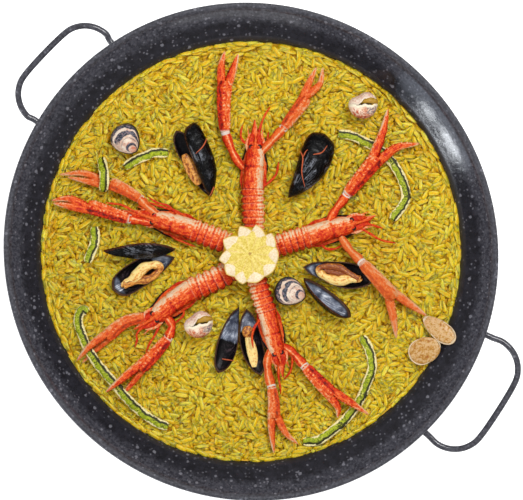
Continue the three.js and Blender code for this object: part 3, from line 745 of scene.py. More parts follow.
def langoustine_body(skin, spine, waist, eyes, scale=1.0, lift=0, tail_lift=0, lit=1, **_):
    steps, angles = 170, turns(36)
    share = np.linspace(0, 1, steps)
    path, ahead = spline(np.insert(np.array(spine, float), 2, 0, axis=1), steps)
    wide, high = body_outline(share, waist, eyes)
    wide, high = HALF_WIDTH * scale * wide, HALF_HEIGHT * scale * high
    # The belly lies on the rice, and the snout points a little upwards.
    path[:, 2] = REST + lift + high * 0.86 + tail_lift * np.clip(1 - share / (0.6 * waist), 0, 1)
    path[:, 2] += 3.5 * np.clip((share - eyes) / (1 - eyes), 0, 1)
    part = ((share / waist * PLATES) % 1.0)[:, None]
    tail = (share < waist)[:, None]
    front = ((share > waist) & (share < eyes))[:, None]
    # Each plate bulges between two joints, and more so in a point at each side.
    bulge = 0.13 * np.sin(math.pi * part) ** 0.6 - 0.11
    points = bell(angles, 3.3, 0.34) + bell(angles + 0.16, TURN, 0.34)
    relief = 1 + tail * (bulge + 0.26 * (np.sin(math.pi * part) ** 0.8 - 0.5) * points)
    # The carapace has a furrow behind the head and a line along each side.
    neck = bell(share, waist + 0.55 * (eyes - waist), 0.011)[:, None]
    lines = bell(np.abs(np.cos(angles)), 0.45, 0.06) * (np.sin(angles) > 0)
    relief = relief - 0.05 * neck * (np.sin(angles) > -0.2) - 0.03 * lines * front
    belly = np.where(np.sin(angles) < 0, 0.84, 1.0)
    rings = rings_along(path, ahead, wide[:, None] * relief, high[:, None] * relief * belly, angles)
    rings = raised(rings, (lumps(rings, 2.2) + 0.8 * lumps(rings, 1.1, 4.0)) * np.where(front, 0.34, 0.2))
    # Painted highlight: the side towards the light is painted chalky, each plate of the tail has its
    # own painted pale fields, and a thin painted pale line runs by each joint. Painted shade lies on the
    # far side, in the grooves between plates and in the furrow behind the head.
    side = from_light(angles, 50, lit)
    light = bell(side, 0, 0.66)
    plate_highlights = np.where(tail, 0.3 + (bell(part, 0.3, 0.16) + bell(part, 0.74, 0.14)), 1.1)
    groove = 0.5 * bell(part, 0.5, 0.05) + bell(part, 0.02, 0.05) + bell(part, 0.98, 0.05)
    deep = shaded(side, 0.15) + 0.9 * tail * (groove - 0.2) * (1.2 - light) + 0.5 * neck
    skin.grid(rings, pale=light * plate_highlights * np.where(share < eyes, 1, 0.5)[:, None],
              band=tail * bell(part, 0.9, 0.05) * (np.sin(angles) > -0.1), deep=np.clip(deep, 0, 1.6),
              run=(length_of(path) * share)[:, None], turn=angles * 9)
    return path, ahead, wide, high


# %% The head's spikes, feelers, eyes, folded legs and painted shade under it
def beside(body, share, sideways, up=0.0, forward=0.0):
    """A point next to the back: sideways in half widths (left is positive), up in half heights."""
    path, ahead, wide, high = body
    i = int(round(share * (len(path) - 1)))
    across = np.array([-ahead[i, 1], ahead[i, 0], 0])
    return path[i] + across * wide[i] * sideways + ahead[i] * forward + (0, 0, high[i] * up - REST)


def ball(skin, middle, size):
    levels = [(k, math.sqrt(max(0.0, 1 - k * k))) for k in np.linspace(-0.97, 0.97, 9)]
    rings = [[middle + (size * r * math.cos(a), size * r * math.sin(a), 0.8 * size * k) for a in turns(12)]
             for k, r in levels]
    skin.grid(lifted(rings))


# A place is the share of the head behind the eyes, then sideways, up and the millimetres ahead.
# Each limb has its places, its radii and its looks; the paired ones are on both sides.
FEELERS = [(-1, 0.25, -0.2, dict(pale=0.1, deep=0.7)), (1, 0.2, -0.1, dict(pale=0.1, deep=0.7)),
           (-1, 0.9, 0.0, dict(pale=0.5, deep=0.1)), (1, 0.95, -0.1, dict(pale=0.5, deep=0.1))]
SNOUT = ([(0.3, 0, 0.75, 0), (0, 0, 0.95, 0), (0, 0, 0.75, 14)], [2.6, 2.2, 1.2, 0.3],
         dict(flat=0.8, pale=0.25))
PAIRED_LIMBS = [
    ([(0, 0.4, 0.1, 0), (0, 0.5, 0.25, 6), (0, 0.3, 0, 16)], [3.2, 3.6, 3.1, 2.2, 0.6],
     dict(pale=0.1, deep=0.3)),
    ([(0.1, 0.78, -0.1, 0), (0, 1.0, 0.1, 5), (0, 0.62, 0, 15)], [1.5, 2.1, 1.9, 0.4],
     dict(flat=0.7, pale=0.55)),
    # The last two pairs are near-black strips low along the carapace: painted shade under the edge of the
    # body, where the legs start.
    ([(0.8, 0.95, -0.55, 0), (0.2, 1.02, -0.5, 0), (0, 1.0, -0.3, 5)], [1.2, 2.2, 1.0],
     dict(sides=8, deep=3.2)),
    ([(0.75, 1.12, -0.62, 0), (0.35, 1.16, -0.62, 0), (0.05, 1.1, -0.5, 0)], [0.8, 2.6, 2.0, 0.6],
     dict(sides=8, flat=0.6, deep=3.2)),
]
# Start and end of each folded leg, as shares of the head in front of the waist, and how far out it bends.
FOLDED_LEGS = [(0.25, 1.1, 1.0), (0.1, 0.8, 1.15), (-0.05, 0.55, 1.22)]


def head_details(skin, eyes_skin, body, waist, eyes, scale=1.0, **_):
    head = eyes - waist

    def head_limb(side, places, radii, look):
        """Only the distance of the last place grows with the animal."""
        sizes = [1] * (len(places) - 1) + [scale]
        points = [beside(body, eyes - back * head, side * out, up, ahead * size)
                  for (back, out, up, ahead), size in zip(places, sizes)]
        limb(skin, points, radii, **look)

    for side, tip, lift, look in FEELERS:
        places = [(0.25, 0.85, -0.1, 0), (0, 0.8, lift, 6), (0, tip, lift, 19)]
        head_limb(side, places, [1.0, 1.5, 1.1, 0.3], dict(look, sides=8))
    head_limb(1, *SNOUT)
    for side in (-1, 1):
        for places, radii, look in PAIRED_LIMBS:
            head_limb(side, places, radii, look)
        ball(eyes_skin, beside(body, eyes, side * 0.52, 0.66, forward=1.5), 2.3)
        ball(skin, beside(body, eyes, side * 0.38, 0.84, forward=0.8), 1.75)
        for row, (start, end, out) in enumerate(FOLDED_LEGS):
            low, high = waist + start * head, waist + end * head
            points = [beside(body, low, side * 0.9, -0.45),
                      beside(body, (low + high) / 2, side * out, -0.35 - 0.12 * row),
                      beside(body, min(high, 0.97), side * (out - 0.12), -0.4)]
            thin_leg(skin, points, radius=1.5 - 0.2 * row, pale=0.6 - 0.25 * row)


# %% The palm of a claw
# Shares of the length, and of the half width there.
PALM_WIDTHS = [0, 0.04, 0.14, 0.6, 0.88, 1], [0.5, 0.72, 0.86, 1.0, 1.08, 0.8]
PALM_THORNS, FINGER_TEETH = 3.4, 2.6  # from one to the next


def spikes(run, spacing, sharp):
    return np.clip(np.sin(TURN * run / spacing), 0, 1) ** sharp


def palm(skin, points, half_width, lit, tone):
    """The broad part of a claw: six rows of thorns, and a pale joint where it starts."""
    steps, angles = 70, turns(30)
    path, ahead = spline(lifted(points), steps)
    share = np.linspace(0, 1, steps)
    run = (share * length_of(path))[:, None]
    wide = half_width * np.interp(share, *PALM_WIDTHS)
    fold = 0.5 + 0.5 * np.cos(6 * (angles - math.pi / 2))
    thorn = (1 - 0.8 * tone) * spikes(run, PALM_THORNS, 1.5)
    relief = 1 + 0.09 * (fold - 0.5) + 0.13 * thorn * fold ** 3
    rings = rings_along(path, ahead, wide[:, None] * relief, 0.84 * wide[:, None] * relief, angles)
    rings = raised(rings, (lumps(rings, 2.0) + 0.7 * lumps(rings, 1.0, 3.0)) * 0.25)
    # Pale thorns and margins, with a painted highlight on the side towards the light; deep is painted shade
    # on the far side and between the ridges.
    side = from_light(angles, 40, lit)
    light = bell(np.abs(side), 0.15, 0.3)
    joint = np.clip(1 - share / 0.05, 0, 1)[:, None] + 0 * angles
    rims = 0.6 * tone * bell(np.abs(angles - math.pi / 2), 1.2, 0.3)
    pale = (0.05 + 0.7 * thorn) * fold ** 4 + 0.35 * light + joint + rims
    deep = np.clip(shaded(side, 0.35) + 0.7 * (1 - fold) ** 2 * (1 - light), 0, 1.4) * (1 - joint)
    skin.grid(rings, pale=np.clip(pale, 0, 1), joint=joint, orange=tone, deep=deep, run=run + 7,
              turn=angles * 6)


# %% Its fingers
FINGER_SHARE = 0.62  # of the palm's half width
FINGER_WIDTHS = [0, 0.2, 0.5, 0.8, 0.95, 1], [0.96, 1.02, 0.84, 0.52, 0.28, 0.08]


def finger(skin, root, bend, tip, thick, inward, lit, tone):
    """inward is +1 where the teeth are on the left of the finger."""
    steps, angles = 44, turns(18)
    path, ahead = spline(lifted([root, bend, tip]), steps)
    share = np.linspace(0, 1, steps)[:, None]
    run = share * length_of(path)
    wide = thick * np.interp(share, *FINGER_WIDTHS)
    inner = np.clip(np.cos(angles) * inward, 0, 1) ** 6
    outer = np.clip(-np.cos(angles) * inward, 0, 1)
    teeth = spikes(run, FINGER_TEETH, 2) * (share < 0.85)
    rings = rings_along(path, ahead, wide * (1 + 0.3 * teeth * inner), 0.86 * wide, angles)
    rings = raised(rings, lumps(rings, 1.4) * 0.22)
    # Pale teeth, outer edge and tip, with a painted highlight on the side towards the light; deep is
    # painted shade on the far side, and darker along the inner edge between the teeth.
    side = from_light(angles, 45, lit)
    tip_light = 2.6 * np.clip(share - 0.5, 0, 1) * (0.35 + 0.65 * outer)
    pale = 0.6 * outer ** 4 + 0.35 * bell(side, 0, 0.5) + tip_light + 0.8 * teeth * inner
    deep = np.clip(shaded(side, 0.1) + inner * (1.6 - 1.3 * teeth), 0, 1.5) * (1.2 - share)
    skin.grid(rings, orange=tone, pale=np.clip(pale, 0, 1), run=run + 3, turn=angles * 5, deep=deep)


# %% Arm, palm and fingers together
def between(a, b, share):
    return np.asarray(a, float) + share * (np.asarray(b, float) - np.asarray(a, float))


def forearm(skin, arm, start, middle, lit, tone):
    """The arm up to the palm, and the pale knob of the joint between them."""
    # Painted highlights run along both sides of the lit place; deep is painted shade on the far side.
    side = from_light(turns(20), 45, lit)
    limb(skin, [*arm, between(start, middle, 0.02)], [3.0, 4.0, 4.4, 3.4, 4.2, 5.0, 3.6], sides=20,
         flat=0.9, steps=44, pale=0.75 * (bell(side, 0.5, 0.2) + bell(side, -0.65, 0.2)), orange=tone,
         deep=shaded(side, 0.1) * 1.2 + 0.35 * bell(side, 0, 0.2))
    knob = [between(arm[-1], start, 0.75) - (0, 0, 1), between(start, middle, 0.06) + (0, 0, 1)]
    limb(skin, knob, [2.6, 4.4, 4.4, 2.4], sides=14, steps=10, pale=1, joint=1)


def claw(skin, arm, palm_points, half_width, fingers, lit, tone=0):
    start, middle, end = (np.array(p, float) for p in palm_points)
    palm(skin, palm_points, half_width, lit, tone)
    if arm:
        forearm(skin, arm, start, middle, lit, tone)
    ahead = (end - middle) / np.linalg.norm(end - middle)
    left = np.array([-ahead[1], ahead[0], 0])
    for bend, tip, *own_share in fingers:
        side = 1 if np.dot(left, np.subtract(tip, end)) > 0 else -1
        root = between(end, middle, 0.2) + left * side * 0.42 * half_width
        root[2] = (end[2] + bend[2]) / 2
        thick = (*own_share, FINGER_SHARE)[0] * half_width
        finger(skin, root, between(bend, between(end, tip, 0.5), 0.25), tip, thick, -side, lit, tone)


# %% Where the five of them lie
# Points are x, y and the height above the rice. Each finger is its bend, its tip and, where it is
# thinner than usual, its share of the palm's half width.
LANGOUSTINES = [
    dict(spine=[(2.4, 19), (2, 43), (1.5, 59), (3, 81), (4, 97), (3.5, 110), (3.5, 124)],
         waist=0.38, eyes=0.74, lit=-1,
         claws=[dict(arm=[(-7, 78, 5), (-14, 87, 6), (-20, 100, 6)], half_width=6.8,
                     palm_points=[(-24.5, 112, 6), (-25.5, 138, 6.5), (-24.5, 160, 6.5)],
                     fingers=[((-29, 175, 6), (-24.5, 188, 5)), ((-15.5, 172, 6), (-12, 185.5, 5))]),
                dict(arm=[(8, 92, 7), (20, 104.5, 6), (26, 111, 6)], half_width=6.2, tone=0.5,
                     palm_points=[(30.5, 116, 5.5), (42, 131, 6), (52, 144.5, 6)],
                     fingers=[((53.5, 158, 6), (61.5, 173, 5)), ((66, 157, 6), (67.5, 172.5, 5))])],
         legs=[[(6, 102, 9), (9, 117.5, 7), (13, 128, 5), (18, 136, 3)],
               [(8, 88, 5), (13, 93, 4), (15, 103, 3), (16.5, 112.5, 2)],
               [(9, 60, 4), (14, 63, 3), (23.5, 72.5, 2), (26, 84.5, 1.5)],
               [(0, 97, 7), (-9, 106, 5), (-9.5, 112, 3), (-8, 119, 2)]]),
    dict(spine=[(19.6, 3.6), (38.5, 10), (53, 14), (74, 20.5), (92, 25), (104, 28.5), (117, 34)],
         waist=0.36, eyes=0.76, scale=1.02, lit=1,
         claws=[dict(arm=[(72, 27, 8), (79, 39, 8), (86, 48, 8)], half_width=7.4,
                     palm_points=[(89.5, 53.5, 8.5), (104, 71, 10.5), (118.5, 88, 12)],
                     fingers=[((123, 112, 11), (128.5, 134, 6)), ((135, 98, 9), (158, 101.5, 4))]),
                dict(arm=[(84, 14, 8), (93, 1, 9), (99, -5, 11)], half_width=7, tone=1,
                     palm_points=[(103.5, -10, 13), (119, -26.5, 12.5), (134, -43, 8)],
                     fingers=[((133, -63, 6), (136.5, -81, 4)), ((148.5, -48, 7), (164.5, -60, 7))])],
         legs=[[(97, 26, 7), (113, 16, 7), (122, 11, 5), (136, 8, 3)],
               [(99, 27, 7), (114, 25, 7), (120, 23, 5), (124, 22, 4)],
               [(66, 10, 5), (68.5, 4, 3.5), (78, 2.5, 3), (90, 9, 3)]]),
    dict(spine=[(3.6, -18.6), (10, -42), (15, -57), (19.5, -75), (24, -91), (28, -105), (30, -118)],
         waist=0.38, eyes=0.76, scale=0.9, lift=4, tail_lift=-4, lit=-1,
         claws=[dict(arm=[(18, -92, 9), (15.5, -103, 8), (16.5, -116, 7)], half_width=5.9, tone=0.5,
                     palm_points=[(19.5, -127, 6.5), (21.5, -142, 6), (21.5, -156, 6)],
                     fingers=[((19, -172, 5.5), (21.5, -189, 4)), ((33, -171, 5.5), (44, -180.5, 4))]),
                dict(arm=[(29, -88, 9), (37.5, -93, 7), (45, -101, 6.5)], half_width=6.6,
                     palm_points=[(50.5, -107.5, 6.5), (64, -122, 7), (77, -134.5, 8.2)],
                     fingers=[((95, -141.5, 9), (110.5, -152.5, 6)), ((82, -146, 6.5), (81.5, -156, 4))])],
         legs=[[(9, -63, 11), (3.5, -70, 16), (1, -79, 16), (2, -90, 13)],
               [(30, -95, 10), (38, -98, 6), (37, -112, 4), (31, -120, 3)],
               [(26, -97, 9), (26, -118, 7), (27.5, -127, 5), (28, -134, 4)]]),
    dict(spine=[(-13.6, -15.6), (-40, -29), (-57, -36.5), (-74, -48), (-88, -59.5), (-99, -66.5),
                (-110, -73)],
         waist=0.42, eyes=0.78, scale=1.06, lit=-1,
         claws=[dict(arm=None, half_width=6.4, tone=0.5,
                     palm_points=[(-98, -61, 6.5), (-118, -66, 6.5), (-136, -80.5, 7)],
                     fingers=[((-153, -89, 12.4), (-163, -102, 9)),
                              ((-147, -94, 2.4), (-158.5, -104.5, 1.6), 0.46)]),
                dict(arm=[(-80, -60, 8), (-74, -69, 7), (-76, -77, 6.5)], half_width=6.6,
                     palm_points=[(-77.5, -81, 6.5), (-91, -96.5, 7), (-104.5, -110, 7)],
                     fingers=[((-121, -118.5, 11.6), (-136, -131.5, 9)),
                              ((-112, -125, 2.6), (-124.5, -138.5, 1.6), 0.46)])],
         legs=[[(-94, -64, 7), (-107, -77, 6), (-107, -83, 4), (-109, -90, 2)],
               [(-81, -58, 6), (-90, -78, 4), (-95, -86, 3), (-99, -96, 2)],
               [(-66, -50, 5), (-63, -58, 4), (-70, -66, 3), (-76, -70, 2)]]),
    dict(spine=[(-18, 6.6), (-45, 16.8), (-62, 23), (-76, 27), (-91, 31), (-106, 35.5), (-122, 39)],
         waist=0.36, eyes=0.7, lit=-1,
         claws=[dict(arm=[(-92, 27, 8), (-104, 29, 6), (-110, 30, 6)], half_width=6.8,
                     palm_points=[(-114, 30.5, 6.5), (-134, 37, 7), (-153, 43, 7)],
                     fingers=[((-170, 51, 6.5), (-187, 48, 5)), ((-168, 41.5, 6.5), (-185.5, 45.5, 5))]),
                dict(arm=[(-88, 35, 9), (-97, 42, 7), (-101, 46, 5)], half_width=6, tone=0.7,
                     palm_points=[(-104, 49.5, 4.5), (-118, 58, 5.5), (-132, 64.5, 5.5)],
                     fingers=[((-153, 74.5, 5), (-180, 72.5, 4)), ((-156, 66, 5), (-172, 70, 4))])],
         legs=[[(-60, 32, 5), (-70, 38, 4), (-84, 42, 4), (-98, 47, 5)],
               [(-70, 36, 6), (-78, 43, 5), (-88, 46, 5), (-96, 51, 6)],
               [(-80, 20, 5), (-72, 13, 4), (-62, 8.5, 3), (-52, 4.5, 2)],
               [(-106, 36, 7), (-122, 44, 8), (-130, 45, 7), (-136, 46, 8)]]),
]


def make_langoustines(shell_finish, eye_finish):
    for number, spec in enumerate(LANGOUSTINES, 1):
        skin, eyes_skin = Skin(), Skin()
        body = langoustine_body(skin, **spec)
        head_details(skin, eyes_skin, body, **spec)
        for each in spec["claws"]:
            claw(skin, lit=spec["lit"], **each)
        for points in spec["legs"]:
            thin_leg(skin, points)
        for part, mesh, finish in (("shell", skin.mesh("langoustine"), shell_finish),
                                   ("eyes", eyes_skin.mesh("eyes"), eye_finish)):
            place(f"langoustine_{part}_{number}", mesh, finish, "langoustine", f"langoustine_{number}")


# %% [markdown]
# ### Cooked shell
#
# The red of a cooked shell is never even: it goes from deep red over orange to pink, and all of it
# is finely speckled. Light and shade are painted on as well: painted shade, deep red down to near
# black, in the folds and on the side away from the light, and a painted chalky highlight where the
# plates face the light. The marks kept on the points say where each of them may show, and noise
# breaks up their edges.

# %% Shell and eye finishes
def shell_finish():
    f = Finish("cooked_shell")
    pale, deep, band, joint, orange = f.marks("pale", "deep", "band", "joint", "orange")
    streak = f.streaks(f.mark("run") * 0.35, f.mark("turn"), 0.6, scale=0.5)
    fine, broad, grit = f.noise(2.2, 4, 0.8), f.noise(7, 3, 0.6), f.cells(1.6)
    gritty = fine + (grit - 0.4) * 0.22
    # One number leads from deep red over orange to chalk: its low end, down to near black, is painted
    # shade, and its chalky top is painted highlight.
    level = 0.44 + pale * 0.55 - deep * 0.44 + orange * 0.16
    level = level + (gritty - 0.5) * 1.2 + (broad - 0.5) * 0.5 + (streak - 0.5) * 1.3
    colour = f.layers((22, 4, 4), (level.step(-0.4, -0.02), (110, 10, 2)),
                      (level.step(0.02, 0.34), (206, 36, 6)),
                      (level.step(0.36, 0.66), (240, 104, 32)),
                      (level.step(0.68, 0.92) * pale.step(0.05, 0.5, 0.5, 1), (240, 186, 138)),
                      (level.step(0.88, 1.25) * pale.step(0.3, 0.9, 0.15, 1), (240, 212, 182)),
                      (band * fine.step(0.36, 0.56) * 0.4, (240, 190, 156)),
                      (joint * fine.step(0.3, 0.5, 0.5, 0.95), (226, 212, 200)),
                      (orange * 0.45, (204, 108, 38)))
    return f.surface(Base_Color=colour, Roughness=fine.step(0.3, 0.7, 0.28, 0.5), IOR=1.32,
                     Normal=f.bump(gritty + streak * 0.4, 0.9, 0.9))


def eye_finish():
    f = Finish("black_eye")
    facets = f.cells(0.7)
    return f.surface(Base_Color=f.mix(facets, (8, 6, 8), (34, 22, 22)), Roughness=0.16,
                     Normal=f.bump(facets, 0.2, 0.1))


make_langoustines(shell_finish(), eye_finish())

# %% [markdown]
# ## Mussels and clams
#
# A shell grows at its edge, so every older edge is a smaller copy of the outline, shrunk towards
# the umbo. The grid of a valve follows that: its rings are those copies, and the same number that
# makes them is kept as a mark for the growth lines. Only the dome's height is measured from the
# middle. A second sheet inside the first gives the wall its thickness.

# %% Outlines
# A clam's outline follows a formula. Each mussel has its own: half widths in mm on the left and the
# right of the line from umbo to far end, at these shares of the length.
SHARES = (0, 0.1, 0.3, 0.5, 0.7, 0.85, 0.95, 1)


def clam_outline(t, width):
    return width / 2 * 1.42 * t ** 0.55 * np.sqrt(np.clip(1 - t ** 2.2, 0, 1))


def rim_of(length, width, sides, fine):
    """The mouth's edge as a closed loop of points, starting at the umbo."""
    turn = np.linspace(0, TURN, fine, endpoint=False)
    t = (1 - np.cos(turn)) / 2
    if sides is None:
        left = right = clam_outline(np.maximum(t, 1e-4), width)
    else:
        left, right = (np.interp(t, SHARES, (0, *half, 0)) for half in sides)
    rim = np.stack([length * t, np.where(turn <= math.pi, -right, left)], 1)
    for _ in range(2 if sides else 0):
        rim[1:] = (rim[1:] * 2 + np.roll(rim, 1, 0)[1:] + np.roll(rim, -1, 0)[1:]) / 4
    return turn, rim


# %% Valves
WALL = 1.3
INSET = 0.8  # from the outer edge to the inner one
GROWTH_LINES = np.array([0.04, *np.linspace(0.1, 0.9, 15), 0.94, 0.97, 0.99, 1.0])


def valve_rings(length, width, depth, sides=None, fine=64, dome_powers=(2.3, 0.62)):
    """Outer and inner sheet of one valve, mouth up, umbo at the origin, far edge at +X."""
    turn, rim = rim_of(length, width, sides, fine)
    middle = np.array([length * 0.52, rim[:, 1].mean()])
    spoke = rim - middle
    order = np.argsort(np.arctan2(spoke[:, 1], spoke[:, 0]))
    heading, reach = np.arctan2(spoke[order, 1], spoke[order, 0]), np.linalg.norm(spoke[order], axis=1)

    def dome(flat, deep, shrink):
        """Each point's share of the way from the middle to the edge, and the point at its depth."""
        away = flat - middle
        edge = np.interp(np.arctan2(away[..., 1], away[..., 0]), heading, reach, period=TURN) - shrink
        share = np.clip(np.linalg.norm(away, axis=-1) / edge, 0, 1)
        return share, np.dstack([flat, -deep * (1 - share ** dome_powers[0]) ** dome_powers[1]])

    grow = GROWTH_LINES
    outer_share, outer = dome(grow[:, None, None] * rim, depth, 0)
    inner_flat = middle + (grow[::-1, None, None] * rim - middle) * (1 - 2 * INSET / width)
    inner_share, inner = dome(inner_flat, depth - WALL, INSET)
    rings = np.concatenate([outer, inner])
    whole = np.ones(rings.shape[:2])
    return rings, dict(grow=np.concatenate([grow, grow[::-1]])[:, None] * whole,
                       inside=np.repeat([0.0, 1.0], len(grow))[:, None] * whole,
                       edge=np.concatenate([outer_share, inner_share]),
                       along=rings[..., 0] / length, ray=turn / 6.28 * whole)


# %% Place them
def turned(points, umbo, heading, roll=0.0, pitch=0.0, drop=0.0):
    """Rolls about the long line, pitches, turns to the heading and moves to the umbo."""
    r, p, h = (math.radians(v) for v in (roll, -pitch, heading))
    x, y, z = np.moveaxis(np.asarray(points, float), -1, 0)
    y, z = y * math.cos(r) - z * math.sin(r), y * math.sin(r) + z * math.cos(r)
    x, z = x * math.cos(p) + z * math.sin(p), -x * math.sin(p) + z * math.cos(p)
    x, y = x * math.cos(h) - y * math.sin(h), x * math.sin(h) + y * math.cos(h)
    return np.stack([x + umbo[0], y + umbo[1], z + drop], -1)


def mirrored(rings):
    return rings * (1, 1, -1)


# %% The meat in a valve
FLESH_DEPTH = -0.12  # of the valve's depth, below the mouth


def mantle(skin, to_place, length, depth, start, end, side, spread, thick, tint, closed):
    """A loop of soft flesh: a left and a right lobe that join at both ends round a dark slit."""
    phi, angles = np.linspace(0, TURN, 110), turns(22)
    left = 0.5 + 0.5 * np.sin(phi)
    bulk = (thick[1] + (thick[0] - thick[1]) * left) * (0.7 + 0.3 * np.abs(np.sin(phi)))
    bulk = bulk * (1 + 0.12 * np.sin(4 * phi + side) + 0.08 * np.sin(9 * phi))
    reach = (end - start) / 2 * length
    closing = 1 - 0.8 * ease((np.cos(phi) + closed) / 1.1)
    path = np.stack([(start + end) / 2 * length + (reach - bulk) * np.cos(phi),
                     side + spread * closing * np.sin(phi), FLESH_DEPTH * depth + 0.5 * np.sin(3 * phi)], 1)
    rings = rings_along(path, tangents(path), bulk, bulk * 0.62, angles)
    rings = raised(rings, 0.5 * lumps(rings, 2.6, 2.0))
    tone = (tint[1] + (tint[0] - tint[1]) * ease(left * 2 - 0.5))[:, None]
    skin.grid(to_place(rings), tint=tone + 0.9 * np.clip(np.cos(angles), 0, 1) ** 3,
              run=(phi * reach)[:, None], turn=(angles - 4.71) * 3)


def tongue(skin, to_place, length, depth, start, end, side, wide, tint, high=0.4, bent=0.0):
    """One plump lobe, blunt at both ends."""
    share, angles = np.linspace(0, 1, 60), turns(24)
    half = wide * np.sin(math.pi * (0.05 + 0.9 * share)) ** 0.5
    path = np.stack([length * (start + (end - start) * share), side + bent * np.sin(math.pi * share),
                     np.full(len(share), FLESH_DEPTH * depth)], 1)
    rings = rings_along(path, tangents(path), half, half * high, angles)
    rings = raised(rings, 0.45 * lumps(rings, 2.6, 2.0))
    skin.grid(to_place(rings), tint=tint, run=(share * length)[:, None], turn=(angles - 4.71) * 3)


# %% Every shell in its place
# Size is length, width and depth. Sides are the half widths on the left and on the right. Pearl is
# the share of the length, from the umbo, that is pearly inside; far is where a second pearly part
# starts, and shade darkens one side. A sheen spot, given by its middle and its reach, is where more
# grey sheen is painted on, as a painted reflection, and threads are torn ends of the beard that lie
# over the shell.
SHELLS = [
    dict(node="mussel_1_lower", size=(69, 18, 8), umbo=(-39.3, 52.1), heading=116.6, roll=-4, pearl=0.1,
         sides=[(3.6, 6.6, 8, 9, 7.9, 5.2), (3.6, 7, 9, 9, 7.5, 4.5)],
         tongues=[dict(start=0.2, end=0.66, side=3.6, wide=5.8, tint=0.8)]),
    dict(node="mussel_1_upper", size=(72, 21, 9), umbo=(-37.4, 51.2), heading=103.1, roll=196, lift=8.4,
         sides=[(5.6, 11.3, 11.5, 9.2, 6.7, 4.5), (4.1, 6.9, 8.8, 11.4, 12.2, 9.6)], worn=(-47.5, 84, 13),
         threads=[[(-41.2, 105.5), (-44.9, 98.0), (-51.5, 91.4)],
                  [(-34.6, 60.6), (-36.5, 55.9), (-38.4, 52.1)]]),
    dict(node="mussel_2", size=(69.5, 30, 11), umbo=(34.6, 50.2), heading=60, roll=2, shut=True,
         sides=[(3.3, 5.7, 9.5, 12.7, 13.3, 10.8), (7.3, 14.8, 18.9, 19.2, 16.2, 13)], worn=(50, 70, 15),
         threads=[[(45.9, 94.3), (48.2, 87.7), (47.3, 73.7), (50.1, 60.6)],
                  [(48.7, 88.6), (51.0, 93.3), (52.9, 95.2)], [(58.0, 90.5), (65.9, 92.4), (71.1, 98.9)]]),
    dict(node="mussel_3_lower", size=(66.5, 26, 8.5), umbo=(-71, -5), heading=207.6, roll=-6, pearl=0.3,
         far=0.84, sides=[(3.8, 8.2, 11, 11.7, 12, 8.4), (6.5, 13, 15, 14, 12, 8.5)],
         ring=dict(start=0.2, end=0.87, side=1.2, spread=6.2, thick=(3.6, 5.0), tint=(0.85, 0.1),
                   closed=0.45)),
    dict(node="mussel_3_upper", size=(67.9, 24, 8), umbo=(-70.5, 2.6), heading=181.3, roll=122,
         sides=[(6.5, 11.5, 12, 8.5, 4.8, 2.0)] * 2, worn=(-108, 4, 14)),
    dict(node="mussel_4_left", size=(65.4, 20, 8), umbo=(-11, -51.5), heading=-107.9, roll=14, pearl=0.52,
         sides=[(2, 5.9, 10, 10.9, 9, 5.5), (5.1, 8.6, 10.1, 9.2, 7, 4.6)],
         threads=[[(-27.1, -100.7), (-21.5, -101.4), (-15.9, -102.1)]]),
    dict(node="mussel_4_right", size=(64.2, 21, 7), umbo=(-4.3, -53.3), heading=-77.8, roll=-6, pearl=0.3,
         sides=[(5, 8, 8.2, 8.4, 7.2, 4), (6.6, 11.5, 13.4, 12.2, 8.5, 4.8)],
         tongues=[dict(start=0.38, end=0.86, side=-4.4, wide=4.9, tint=0.0, bent=1.2),
                  dict(start=0.25, end=0.43, side=-3.2, wide=5.6, tint=1.0)]),
    dict(node="mussel_5_upper", size=(66.3, 24, 7.5), umbo=(48.7, -14.3), heading=-13.1, roll=-5, pearl=0.3,
         sides=[(6.2, 10, 13, 14.5, 12.5, 7), (4.9, 7.8, 11, 10.8, 7.5, 3.5)],
         ring=dict(start=0.18, end=0.86, side=0.9, spread=6.4, thick=(3.1, 4.6), tint=(1.25, 0.1),
                   closed=0.15),
         tongues=[dict(start=0.3, end=0.62, side=1.4, wide=2.4, tint=1.5)]),
    dict(node="mussel_5_lower", size=(57.8, 20, 10), umbo=(49.2, -24.2), heading=-39.7, roll=-54, pearl=1.3,
         shade=0.9, sides=[(4.5, 9.2, 10.6, 11, 9.6, 6)] * 2),
    dict(node="clam_1", size=(30, 32, 8.5), umbo=(-107.5, 93), heading=128, roll=-8, shut=True),
    dict(node="clam_3", size=(30, 31, 8.5), umbo=(51, -43), heading=160, roll=8, shut=True),
    dict(node="clam_5_lower", size=(32, 28, 6.5), umbo=(177, -86), heading=205, pitch=-13,
         tongues=[dict(start=0.06, end=0.95, side=0.0, wide=12.4, tint=0.35, high=0.2)]),
    dict(node="clam_5_upper", size=(38, 21, 6), umbo=(162, -61.5), heading=-39, pitch=17,
         tongues=[dict(start=0.08, end=0.93, side=0.0, wide=8.8, tint=0.2, high=0.22)]),
]


def draped(line, points):
    """A line of frame positions laid over the highest points of a placed shell."""
    flat = points.reshape(-1, 3)
    path = []
    for x, y in line:
        near = np.hypot(flat[:, 0] - x, flat[:, 1] - y)
        path.append((x, y, flat[near < max(2.5, near.min() + 0.1), 2].max() + 0.25 - REST))
    return path


